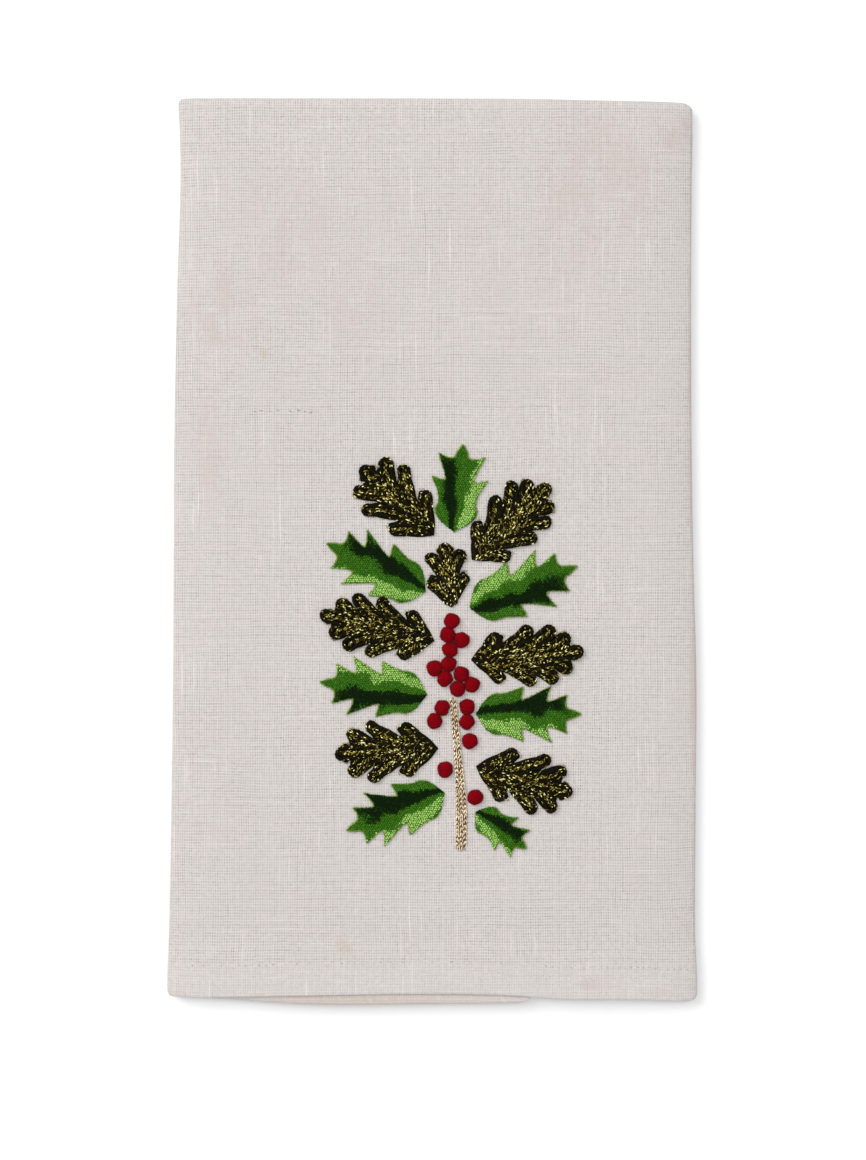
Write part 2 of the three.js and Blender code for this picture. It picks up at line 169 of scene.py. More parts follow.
# Leaves of the sprig, each form numbered in this order: lobes or teeth a side, foot of the leaf, turn
# from straight up, clockwise, size and the side in the light
LEAVES = rows(
    "form lobes x y turn length width lit",
    ("toothed", 2, 8.5, 7.4, 6, 35, 34, 1),
    ("lobed", 3, 0.8, 6, -47, 40, 37, 1),
    ("lobed", 4, 15.4, -3.7, 46, 43, 36, 1),
    ("lobed", 2, 7.4, -22.5, -6, 26, 25, 1),
    ("toothed", 3, -2.5, -16.2, -64, 44, 36, -1),
    ("toothed", 3, 14.5, -22.5, 69, 46, 36, -1),
    ("lobed", 4, 1, -35.6, -77, 47, 35, 1),
    ("lobed", 4, 15, -43, 86, 45, 35, 1),
    ("toothed", 3, -2, -57, -83, 43, 35, 1),
    ("toothed", 3, 17, -64.5, 90, 42, 34, 1),
    ("lobed", 3, 2.5, -78, -93, 41, 35, 1),
    ("lobed", 3, 17, -85, 106, 40, 35, 1),
    ("toothed", 3, 5, -95.5, -111, 42, 34, -1),
    ("toothed", 2, 17, -103, 126, 25, 24, 1),
)

# Bunches of berries: centre, turn of the first berry and how many touch round it
BERRY_BUNCHES = rows(
    "x y turn count",
    (7.6, -27.7, 0, 1), (8.2, -35.8, 10, 3), (4.0, -47.2, 45, 3), (12.3, -52.0, -15, 3),
    (13.6, -64.6, 90, 2), (2.2, -64.6, 60, 2), (14.7, -75.2, 0, 1), (5.0, -86.4, 0, 1),
    (16.9, -97.4, 0, 1),
)
BERRY_PITCH = 5.85

# A berry is a unit ball cut off this far below its middle, with a core that its pile stands on
BERRY_CUT = 0.35
BERRY_CORE = 0.9
GOLDEN_TURN = pi * (3 - sqrt(5))

# Stem: its middle line from the foot up, and its width
STEM_LINE = rows(
    "x y width",
    (11.2, -118.9, 5.0), (11.4, -100.0, 4.4), (10.0, -80.0, 3.4), (8.0, -58.0, 2.8),
)

# Width from which the stem takes a third chain between its two, and the length of its narrowing foot
THREE_CHAINS_FROM = 3.6
FOOT_TAPER = 5

# Zones of a green leaf, fanning from its foot: bearing from the shaded edge to the lit one, and tone
ZONES = rows(
    "across shade",
    (-1.0, 0.5), (-0.62, 0.5), (-0.46, 0.04), (-0.1, 0.04), (0.04, 0.48), (0.26, 0.52), (0.38, 1.0),
    (0.78, 1.0), (1.0, 0.55),
)
FAN_FOOT = -0.16
FAN_SPREAD = 0.5

# Thickness of a leaf pad at its rim, steps along a lobe's cord with the bare ones of its brighter strand,
# loose gold ends round a dark leaf, and the steps and pointed ends of a strand
PAD_RIM = 0.15
LOBE_STEPS = 14
LOBE_BARE_STEPS = 4
FRINGE_ENDS = 260
STRAND_STEP = 0.4
STRAND_POINT = 0.35

# Stitches start this far inside the side edges. A faint second row of needle holes, spots of painted shade,
# runs along the right
STITCH_INSET = 4
SECOND_ROW_FROM = 20
SECOND_ROW_DROP = 4

# Short dark fibres caught in the weave, with their radius and darkest colour, and the soft blushes and
# stains of the cloth, some rows of both being painted shade
FIBRE_RADIUS = 0.13
FIBRE_BLACK = (0.01, 0.008, 0.008, 1.0)
FIBRES = rows(
    "x y length turn",
    (-70.2, 55.1, 0.9, 84), (-67.6, 55.4, 1.3, 93), (-64.3, 55.2, 0.7, 88), (-61.0, 55.6, 1.0, 96),
    (-56.2, 55.2, 0.8, 90), (-52.9, 55.5, 1.2, 86), (-50.4, 55.0, 0.9, 92), (-48.0, 54.8, 1.6, 58),
)
BLUSHES_AND_SHADE = rows(
    "x y across along strength",
    (-82, 92, 16, 26, 0.55), (-58, 128, 22, 34, 0.35), (-30, 96, 16, 30, 0.3), (-88, 40, 10, 30, 0.35),
    # Painted shade: the rows at (96, 165) and (93, 168) in the top right corner's crease, and those at x
    # 103.8 and 101.5 along the right fold edge. The rows at (66, 146) and (52, 118) darken the top right
    (20, 118, 14, 30, 0.22), (66, 146, 28, 34, 0.5), (96, 165, 8, 9, 1.0), (93, 168, 12, 5, 0.5),
    (103.8, 30, 3.4, 190, 1.0), (52, 118, 18, 30, 0.25), (62, -171, 6, 4, 0.5), (90, -177, 5, 5, 0.5),
    (101.5, -140, 1.3, 20, 0.9),
)
STAINS_AND_FLAP_SHADE = rows(
    "x y across along strength",
    (-66.8, 78.6, 3.0, 2.6, 0.26), (-36.4, -155.0, 3.2, 3.4, 0.18), (-33.8, -157.4, 3.4, 3.2, 0.22),
    # Painted warm shade on the left flap where it shows below the front hem
    (-183, -180, 78, 5, 0.24),
)

# Width of the camera's sensor in millimetres, and how far below the towel the floor lies, in metres
SENSOR = 36
FLOOR_DROP = 0.0003


def lerp(a, b, f):
    return a + (b - a) * f


def clamp(value, low=0.0, high=1.0):
    return min(max(value, low), high)


def eased(value):
    """Smooth step from 0 to 1."""
    f = clamp(value)
    return f * f * (3 - 2 * f)


def read(table, along, column, at):
    """Smooth reading of one column of a table whose rows run along another."""
    points = sorted((getattr(row, along), getattr(row, column)) for row in table)
    last = len(points) - 1
    place = clamp(at, points[0][0], points[last][0])
    row = 0
    while row < last - 1 and points[row + 1][0] < place:
        row += 1

    def slope(i):
        before, after = points[max(i - 1, 0)], points[min(i + 1, last)]
        return (after[1] - before[1]) / (after[0] - before[0])

    (start, low), (end, high) = points[row:row + 2]
    f = (place - start) / (end - start)
    bend_start = slope(row) * (end - start) - (high - low)
    bend_end = high - low - slope(row + 1) * (end - start)
    return lerp(low, high, f) + f * (1 - f) * (bend_start * (1 - f) + bend_end * f)


def hills(table, x, y):
    """Height of a table's long soft rises at a place."""
    rise = 0.0
    for hill in table:
        turn = radians(hill.turn)
        dx, dy = x - hill.x, y - hill.y
        across = (dx * cos(turn) + dy * sin(turn)) / hill.across
        along = (dy * cos(turn) - dx * sin(turn)) / hill.along
        rise += hill.rise * exp(-(across * across + along * along))
    return rise


def stations(length, near_start, middle_steps, near_end):
    """Places from 0 to 1 between two ends, with small steps listed from either end."""
    start = [d / length for d in near_start]
    end = [1 - d / length for d in near_end]
    first = start[-1] if start else 0.0
    last = end[0] if end else 1.0
    middle = [lerp(first, last, i / middle_steps) for i in range(1, middle_steps)]
    return [0.0, *start, *middle, *end, 1.0]


class Stack:
    """The folded towel in millimetres: where each point of the flat cloth lies."""

    def __init__(self, sizes):
        self.cut_width = sizes.cut_width / MM
        self.hem_depth = sizes.hem_depth / MM
        self.sheet = sizes.sheet_thickness / MM
        self.hem_sheet = sizes.hem_thickness / MM
        self.back_length = sizes.cut_length / MM - (FOLD_LINE - FRONT_HEM) - FOLD_TAKE
        self.back_hem = FOLD_LINE - self.back_length
        self.edges_at = {}

    def side_edges(self, y, left_inset=0.0, right_inset=0.0):
        """Side edges of the front panel and free edges of the flaps behind it."""
        key = (y, left_inset, right_inset)
        if key not in self.edges_at:
            left = read(SIDE_EDGES, "y", "left", y)
            right = read(SIDE_EDGES, "y", "right", y)
            left_flap = read(LEFT_FLAP_WIDTHS, "y", "width", y)
            right_flap = self.cut_width - left_flap - (right - left)
            self.edges_at[key] = SimpleNamespace(
                left=left + left_inset,
                right=right - right_inset,
                left_free=left + left_flap,
                right_free=right - right_flap,
            )
        return self.edges_at[key]

    def crest(self, x, edges):
        """Share of the third layer that holds the front face up: none at the side edges."""
        left, right = edges.left, edges.right
        from_left = clamp((x - left) / (edges.right_free - FLAP_CLEARANCE - left))
        from_right = clamp((right - x) / (right - edges.left_free - FLAP_CLEARANCE))
        return 1 - (1 - from_left) ** CREST_POWER - (1 - from_right) ** CREST_POWER

    def layer_room(self, y):
        return lerp(HEM_ROOM, LAYER_ROOM, clamp((y - HEM_ROOM_FROM) / HEM_ROOM_EASE))

    def height(self, x, y, edges):
        """Height of the whole stack."""
        room = self.layer_room(y)
        pitch = room + LAYER_GAP
        side = 2 * (pitch + room) + MIDDLE_GAP
        return side + 2 * pitch * self.crest(x, edges) + hills(SWELLS, x, y)

    def ripple(self, x, y, edges):
        """Unevenness of the front panel alone, which fades out at its side edges and its top."""
        near = min(x - edges.left, edges.right - x, FOLD_LINE - y)
        rise = hills(CREASES, x, y)
        for i, wave in enumerate(WAVES):
            rise += wave.rise * noise.noise(Vector((x / wave.span, y / wave.span, 7.0 * i)))
        return rise * eased(near / WAVE_FADE)

    def front_face(self, x, y):
        """Height of the face that lies on top."""
        edges = self.side_edges(y)
        return self.height(x, y, edges) + self.ripple(x, y, edges)

    def cloth_columns(self):
        """Places across the cloth, from the left flap's free edge to the right flap's."""
        inward = EDGE_OFFSETS[::-1]
        right_flap = self.cut_width - FRONT_WIDTH - LEFT_FLAP_WIDTH
        panels = [
            ("left flap", stations(LEFT_FLAP_WIDTH, FLAP_EDGE_OFFSETS, FLAP_COLUMN_STEPS, inward)),
            ("left fold", stations(1, [], EDGE_STEPS, [])),
            ("front", stations(FRONT_WIDTH, EDGE_OFFSETS, FRONT_COLUMN_STEPS, inward)),
            ("right fold", stations(1, [], EDGE_STEPS, [])),
            ("right flap", stations(right_flap, EDGE_OFFSETS, FLAP_COLUMN_STEPS, [])),
        ]
        return [(name, at) for i, (name, places) in enumerate(panels) for at in places[min(i, 1):]]

    def cloth_rows(self):
        """Places along the cloth, from the front hem over the middle fold to the back hem."""
        halves = [
            ("front", stations(FOLD_LINE - FRONT_HEM, HEM_OFFSETS, FRONT_ROW_STEPS, TOP_OFFSETS)),
            ("fold", stations(1, [], FOLD_STEPS, [])),
            ("back", stations(self.back_length, TOP_OFFSETS[::-1], BACK_ROW_STEPS, HEM_OFFSETS[::-1])),
        ]
        return [(name, at) for i, (name, places) in enumerate(halves) for at in places[min(i, 1):]]

    def skin_depth(self, inner, from_hem):
        """Depth of one face of the cloth below its outer one, which rounds off at the hem's end."""
        step = clamp((from_hem - self.hem_depth + HEM_STEP / 2) / HEM_STEP)
        thick = lerp(self.hem_sheet, self.sheet, step)
        round_off = 1 - clamp(from_hem / (thick / 2))
        return thick / 2 + (inner - 0.5) * thick * sqrt(1 - 0.98 * round_off * round_off)

    def section(self, panel, across, skin, edges, room, innermost):
        """Place across the stack, depth below its outer face, and place across the flat cloth."""
        pitch = room + LAYER_GAP
        left_bend = (pitch + room) / 2
        left_turn = edges.left + left_bend
        right_bend = (innermost(edges.right - left_bend) + room) / 2
        right_turn = edges.right - right_bend
        if panel == "left flap":
            x = lerp(edges.left_free, left_turn, across)
            return x, pitch + room - skin, left_turn - pi * left_bend - (x - left_turn)
        if panel == "left fold":
            bend = pi * (1 - across)
            x = left_turn - (left_bend - skin) * sin(bend)
            return x, left_bend - (left_bend - skin) * cos(bend), left_turn - left_bend * bend
        if panel == "front":
            x = lerp(left_turn, right_turn, across)
            return x, skin, x
        if panel == "right fold":
            bend = pi * across
            x = right_turn + (right_bend - skin) * sin(bend)
            return x, right_bend - (right_bend - skin) * cos(bend), right_turn + right_bend * bend
        x = lerp(right_turn, edges.right_free, across)
        return x, innermost(x) + room - skin, right_turn + pi * right_bend + right_turn - x

    def fold(self, column, row, inner):
        """Where a point of the flat cloth lies once folded, and its place on the flat cloth."""
        (panel, across), (half, along) = column, row
        turn = pi * along if half == "fold" else 0.0
        behind = along if half == "back" else 0.0
        from_fold = {"front": 1 - along, "fold": 0.0, "back": along}[half]
        hem = self.back_hem if half == "back" else FRONT_HEM
        y_row = lerp(FOLD_LINE, hem, from_fold)
        tuck = 1 - abs(cos(turn))
        from_hem = (1 - from_fold) * (FOLD_LINE - hem)
        bulge = 1 - clamp(from_hem / HEM_CORNER_RISE)
        inset = BACK_INSET * behind + HEM_CORNER_ROUND * (1 - sqrt(1 - bulge * bulge))
        edges = self.side_edges(y_row, inset + LEFT_CORNER_ROUND * tuck, inset + RIGHT_CORNER_ROUND * tuck)
        room = self.layer_room(y_row)

        def innermost(x):
            return (self.height(x, y_row, edges) - MIDDLE_GAP) / 2 - room

        skin = self.skin_depth(inner, from_hem)
        x, depth, flat_x = self.section(panel, across, skin, edges, room, innermost)
        radius = self.height(x, y_row, edges) / 2
        top = FOLD_LINE - read(FOLD_DROOP, "x", "drop", x) - radius
        if half == "fold":
            reach = radius - depth
            spot = (x, top + reach * sin(turn), radius + reach * cos(turn))
            return spot, (flat_x, top + radius * turn)
        if half == "back":
            y = lerp(top, self.back_hem, along)
            return (x, y, depth), (flat_x, top + pi * radius + top - y)
        y = lerp(read(HEM_LINES[panel], "x", "y", x), top, along)
        lift = self.ripple(x, y, edges) if panel == "front" else 0.0
        return (x, y, 2 * radius - depth + lift), (flat_x, y)



# Mesh building


def index_sheet(across, along, place):
    """Closed sheet of across by along cells, each vertex carried to its place in millimetres."""
    bm = bmesh.new()
    bmesh.ops.create_grid(bm, x_segments=across, y_segments=along, size=1)
    bmesh.ops.solidify(bm, geom=bm.faces[:], thickness=1)
    for vertex in bm.verts:
        column = round((vertex.co.x + 1) / 2 * across)
        row = round((vertex.co.y + 1) / 2 * along)
        vertex.co = Vector(place(column, row, int(vertex.co.z <= -0.5))) * MM
    return bm


def arrays(bm):
    """Points and triangles of a bmesh, which ends here."""
    bmesh.ops.triangulate(bm, faces=bm.faces[:])
    bm.verts.index_update()
    points = np.array([vertex.co[:] for vertex in bm.verts])
    corners = np.array([[vertex.index for vertex in face.verts] for face in bm.faces])
    bm.free()
    return points, corners


# Small closed shapes that are copied many times


def cone(top, sides, cap_tris):
    """Cone or tube of unit radius at its foot, from 0 to 1 along Z."""
    bm = bmesh.new()
    bmesh.ops.create_cone(
        bm, cap_ends=True, cap_tris=cap_tris, segments=sides, radius1=1, radius2=top, depth=1,
        matrix=Matrix.Translation((0, 0, 0.5)),
    )
    return bm


@cache
def hair():
    return arrays(cone(0, 3, False))


@cache
def loop():
    bm = bmesh.new()
    bmesh.ops.create_icosphere(bm, subdivisions=1, radius=1)
    return arrays(bm)


@cache
def grain():
    bm = bmesh.new()
    bmesh.ops.create_uvsphere(bm, u_segments=8, v_segments=6, radius=1)
    return arrays(bm)


@cache
def tube(rings, sides):
    bm = cone(1, sides, True)
    lengthwise = [e for e in bm.edges if abs(e.verts[0].co.z - e.verts[1].co.z) > 0.5]
    bmesh.ops.subdivide_edges(bm, edges=lengthwise, cuts=rings - 2, use_grid_fill=True)
    return arrays(bm)


class Batch:
    """Many small shapes gathered into one mesh, with a tone for every point."""

    def __init__(self):
        self.points, self.corners, self.tones, self.flats, self.slots = [], [], [], [], []
        self.count = 0

    def add(self, points, corners, tone, slot=0, flats=None):
        """Takes one shape: its points in millimetres, its triangles, its tone and its finish."""
        self.points.append(points)
        self.corners.append(corners + self.count)
        self.tones.append(np.broadcast_to(np.asarray(tone, dtype=float), (len(points), 3)))
        self.flats.append(np.zeros((len(corners), 3, 2)) if flats is None else flats)
        self.slots.append(np.full(len(corners), slot))
        self.count += len(points)

    def copy(self, shape, spot, direction, across, length, tone, slot=0):
        """Puts one copy of a shape at a spot, its Z turned to a direction."""
        points, corners = shape
        turn = Vector(direction).to_track_quat("Z", "Y").to_matrix()
        size = np.array([across, across, length] if np.isscalar(across) else [*across, length])
        self.add((points * size) @ np.array(turn).T + np.array(spot), corners, tone, slot)

    def add_bmesh(self, bm, tone, slot=0):
        """Takes a bmesh that is already in metres, with one tone for all or for each vertex."""
        points, corners = arrays(bm)
        self.add(points / MM, corners, tone, slot)

    def mesh(self, name):
        mesh = bpy.data.meshes.new(name)
        corners = np.concatenate(self.corners)
        mesh.from_pydata((np.concatenate(self.points) * MM).tolist(), [], corners.tolist())
        mesh.polygons.foreach_set("material_index", np.concatenate(self.slots))
        mesh.polygons.foreach_set("use_smooth", np.ones(len(corners), dtype=bool))
        flat = mesh.uv_layers.new(name="strand")
        flat.data.foreach_set("uv", np.concatenate(self.flats).ravel())
        tone = mesh.attributes.new("tone", "FLOAT_COLOR", "POINT")
        tones = np.concatenate(self.tones)
        tone.data.foreach_set("color", np.column_stack([tones, np.ones(len(tones))]).ravel())
        mesh.update()
        return mesh


class Course:
    """A path cut at places along it, with its directions ahead, aside and up at each."""

    def __init__(self, path, cut):
        path = np.asarray(path, dtype=float)
        run = np.concatenate([[0], np.cumsum(np.linalg.norm(np.diff(path, axis=0), axis=1))])
        self.at = cut(run[-1])
        self.centre = np.column_stack([np.interp(self.at, run, path[:, k]) for k in range(3)])
        self.ahead = np.gradient(self.centre, axis=0)
        self.ahead /= np.linalg.norm(self.ahead, axis=1)[:, None]
        self.aside = np.cross(self.ahead, [0.0, 0.0, 1.0])
        self.aside /= np.linalg.norm(self.aside, axis=1)[:, None]
        self.upward = np.cross(self.aside, self.ahead)

    def round(self, bearing, reach, ring=slice(None)):
        """Places round the path, at a bearing and a reach from it."""
        centre, aside, upward = self.centre[ring], self.aside[ring], self.upward[ring]
        bearing = np.broadcast_to(bearing, len(centre))[:, None]
        reach = np.broadcast_to(reach, len(centre))[:, None]
        return centre + reach * (np.cos(bearing) * aside + np.sin(bearing) * upward)


def strand(batch, path, radius, tone, slot=0, sides=8, ply_pitch=0.0, ply_depth=0.0, phase=0.0):
    """Round or plied strand along a path, its ends closed and eased off."""
    course = Course(path, lambda length: np.linspace(0, length, max(int(length / STRAND_STEP) + 1, 4)))
    points, corners = tube(len(course.at), sides)
    ring = np.rint(points[:, 2] * (len(course.at) - 1)).astype(int)
    bearing = np.arctan2(points[:, 1], points[:, 0])
    out = np.hypot(points[:, 0], points[:, 1])
    at = course.at[ring]
    turn = 2 * pi * at / ply_pitch + phase if ply_pitch else 0.0
    plied = 1 - ply_depth * np.sin(bearing - turn) ** 2
    from_end = np.minimum(at, course.at[-1] - at)
    easing = np.sqrt(1 - 0.75 * (1 - np.clip(from_end / radius, 0, 1)) ** 2)
    spots = course.round(bearing, out * radius * plied * easing, ring)
    pole = out < 0.5
    end = np.where(ring[pole] == 0, -STRAND_POINT, STRAND_POINT)
    spots[pole] += (end * radius)[:, None] * course.ahead[ring[pole]]

    # Unrolled layer: along the strand, and once round it
    flats = np.stack([at * MM, (bearing / (2 * pi)) % 1], axis=1)[corners]
    seam = flats[:, :, 1].max(axis=1) - flats[:, :, 1].min(axis=1) > 0.5
    flats[:, :, 1] += (seam[:, None] & (flats[:, :, 1] < 0.5)).astype(float)
    batch.add(spots, corners, tone, slot, flats)


def finished(name, mesh, materials, record_slot, *nodes):
    """Puts a mesh in the scene as one piece of the towel, with its finish and the node it stands for."""
    for material in materials:
        mesh.materials.append(material)
    piece = bpy.data.objects.new(name, mesh)
    bpy.context.scene.collection.objects.link(piece)
    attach(piece, BODY)
    if nodes:
        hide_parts(*nodes)
    return piece


# Leaf shapes


def leaves(form):
    """The leaves of one form, each with its number."""
    return enumerate((row for row in LEAVES if row.form == form), 1)


def leaf_waves(row):
    return row.lobes + LEAF_FORMS[row.form].tip_wave


def leaf_local(row, side, share, t):
    """Point of a leaf with its foot at the origin: t along it, a share of the way to its edge."""
    form = LEAF_FORMS[row.form]
    fullness = lerp(form.full_foot, form.full_tip, t)
    blade = sin(pi * t ** form.waist) ** fullness if 0 < t < 1 else 0.0
    crest = form.wave(abs(sin(pi * leaf_waves(row) * t ** form.bunch)))
    cut = form.depth * min(t / form.bare, 1)
    out = share * blade * row.width * (1 - cut + cut * crest) / 2
    rising = lerp(form.lean_foot, 1, min(t / LEAN_FULL_FROM, 1))
    forward = radians(form.lean) * rising * (1 - t ** form.lean_fade)
    return side * out * cos(forward), row.length * t + out * sin(forward)


def leaf_place(row, x, y):
    """A leaf's own point, turned and carried to its place on the towel."""
    turn = radians(row.turn)
    return row.x + x * cos(turn) + y * sin(turn), row.y - x * sin(turn) + y * cos(turn)


def leaf_own(row, x, y):
    """A point of the towel in a leaf's own frame."""
    turn = radians(row.turn)
    dx, dy = x - row.x, y - row.y
    return dx * cos(turn) - dy * sin(turn), dx * sin(turn) + dy * cos(turn)


def leaf_pad(stack, row, height, edge, across, steps, reach=1.0):
    """Low domed pad with a leaf's outline, or a share of it, lying on the face of the towel."""
    along = round(leaf_waves(row) * steps)
    bunch = LEAF_FORMS[row.form].bunch

    def place(column, line, inner):
        share = (2 * column / across - 1) * reach
        side = copysign(1, share)
        t = clamp((line / along) ** (1 / bunch), 0.004, 0.996)
        x, y = leaf_local(row, side, abs(share), t)
        rim_x, rim_y = leaf_local(row, side, reach, t)
        inside = min(hypot(rim_x - x, rim_y - y), t * row.length, (1 - t) * row.length)
        dome = sqrt(1 - (1 - clamp(inside / edge)) ** 2)
        x, y = leaf_place(row, x, y)
        return x, y, stack.front_face(x, y) + (0.05 if inner else lerp(PAD_RIM, height, dome))

    bm = index_sheet(across, along, place)
    bmesh.ops.recalc_face_normals(bm, faces=bm.faces[:])
    return bm


def tilt(draw, most, up=0.0):
    """A chance lean to any side, with a given rise."""
    return Vector((draw.uniform(-most, most), draw.uniform(-most, most), up))


def rim_spots(row, count, near_foot, near_tip, inner, least, draw):
    """Places on a leaf's rim, each with the way out of the leaf there."""
    for _ in range(count):
        t = draw.uniform(near_foot, near_tip)
        side = draw.choice((-1, 1))
        rim, inside = (Vector(leaf_place(row, *leaf_local(row, side, share, t))) for share in (1.0, inner))
        if (rim - inside).length >= least:
            yield rim, (rim - inside).normalized()


# Materials


def linear(colour):
    """Linear colour from a screen colour of 0 to 1."""
    return tuple(c / 12.92 if c <= 0.04045 else ((c + 0.055) / 1.055) ** 2.4 for c in colour[:3]) + (1.0,)


class Value:
    """What one output of a material's nodes gives. Signs and calls on it add the next node."""

    def __init__(self, finish, socket):
        self.finish, self.socket = finish, socket

    def math(self, operation, other=0.0):
        return self.finish.value("Math", {0: self, 1: other}, operation=operation)

    def __add__(self, other):
        return self.math("ADD", other)

    def __sub__(self, other):
        return self.math("SUBTRACT", other)

    def __mul__(self, other):
        return self.math("MULTIPLY", other)

    def __truediv__(self, other):
        return self.math("DIVIDE", other)

    def most(self, other):
        return self.math("MAXIMUM", other)

    def span(self, low, high, to_low=0.0, to_high=1.0, kind="SMOOTHSTEP"):
        """The value mapped from one range to another and held there."""
        names = {"Value": self, "From Min": low, "From Max": high, "To Min": to_low, "To Max": to_high}
        return self.finish.value("MapRange", names, interpolation_type=kind)


class Finish:
    """One procedural material and the nodes that make it."""

    def __init__(self, name, roughness, **sockets):
        self.material = bpy.data.materials.new(name)
        self.material.use_nodes = True
        self.tree = self.material.node_tree
        self.shader = self.tree.nodes["Principled BSDF"]
        for socket, value in dict(sockets, Roughness=roughness).items():
            self.shader.inputs[socket.replace("_", " ")].default_value = value

    def feed(self, socket, value):
        if isinstance(value, Value):
            self.tree.links.new(value.socket, socket)
        else:
            socket.default_value = value

    def values(self, kind, inputs, **settings):
        """Adds a node, feeds it and gives its outputs."""
        node = self.tree.nodes.new("ShaderNode" + kind)
        for name, value in settings.items():
            setattr(node, name, value)
        for socket, value in inputs.items():
            self.feed(node.inputs[socket], value)
        return node.outputs

    def value(self, kind, inputs, output=0, **settings):
        return Value(self, self.values(kind, inputs, **settings)[output])

    def parts(self, vector, kind="SeparateXYZ"):
        return [Value(self, socket) for socket in self.values(kind, {0: vector})]

    def blend(self, factor, a, b, kind="MIX"):
        """Blends two colours, each a value, a screen colour or a linear colour with its alpha."""
        a, b = (c if isinstance(c, Value) or len(c) == 4 else linear(c) for c in (a, b))
        names = {"Factor": factor, "A": a, "B": b}
        return self.value("Mix", names, "Result", data_type="RGBA", blend_type=kind)

    def spots(self, vector, scale, detail=2.0, roughness=0.5):
        """Soft noise over a place, or over two or three numbers."""
        if isinstance(vector, tuple):
            vector = self.value("CombineXYZ", dict(zip("XYZ", vector)))
        names = {"Vector": vector, "Scale": scale, "Detail": detail, "Roughness": roughness}
        return self.value("TexNoise", names, "Fac", noise_dimensions="3D")

    def place(self, layer=""):
        """Place on the piece, or on its own unrolled layer, in millimetres."""
        source = self.value("UVMap", {}, uv_map=layer) if layer else self.value("TexCoord", {}, "Object")
        return self.value("VectorMath", {0: source, "Scale": 1 / MM}, operation="SCALE")

    def tone(self):
        """Tone that the points carry: dark to light, its own chance, kept low on the pads for painted shade,
        and the share of rim or of painted glint.
        """
        return self.parts(self.value("Attribute", {}, "Color", attribute_name="tone"), "SeparateColor")

    def bump(self, height, distance, strength=1.0):
        names = {"Height": height, "Distance": distance * MM, "Strength": strength}
        self.feed(self.shader.inputs["Normal"], self.value("Bump", names))

    def colour(self, value):
        self.feed(self.shader.inputs["Base Color"], value)


def patches(across, along, table):
    """Soft round patches at places of the flat cloth, full at their middles."""
    total = 0.0
    for row in table:
        dx = (across - row.x) / row.across
        dy = (along - row.y) / row.along
        total = (dx * dx + dy * dy).span(1.0, 0.0, 0.0, row.strength) + total
    return total.math("MINIMUM", 1.0)


def yarn_set(finish, run, cross, pitch, seed):
    """One set of yarns: its wave across the yarns and by threes, each yarn's own shade, slubs and grain."""
    uneven = finish.spots((run * 0.5, seed), 1.0, 3.0, 0.7)
    count = (run + uneven * 0.55) / pitch
    number = count.math("FLOOR")

    def each_yarn(apart, stretch, detail):
        return finish.spots((number * apart, cross * stretch, seed), 1.0, detail)

    return SimpleNamespace(
        wave=(count * pi).math("SINE"),
        threes=(count * (2 * pi / 3)).math("SINE"),
        own=each_yarn(7.9, 0.05, 1.0),
        slub=each_yarn(3.71, 0.03, 1.5).span(0.6, 0.76),
        thick=each_yarn(5.3, 0.8, 2.0),
    )


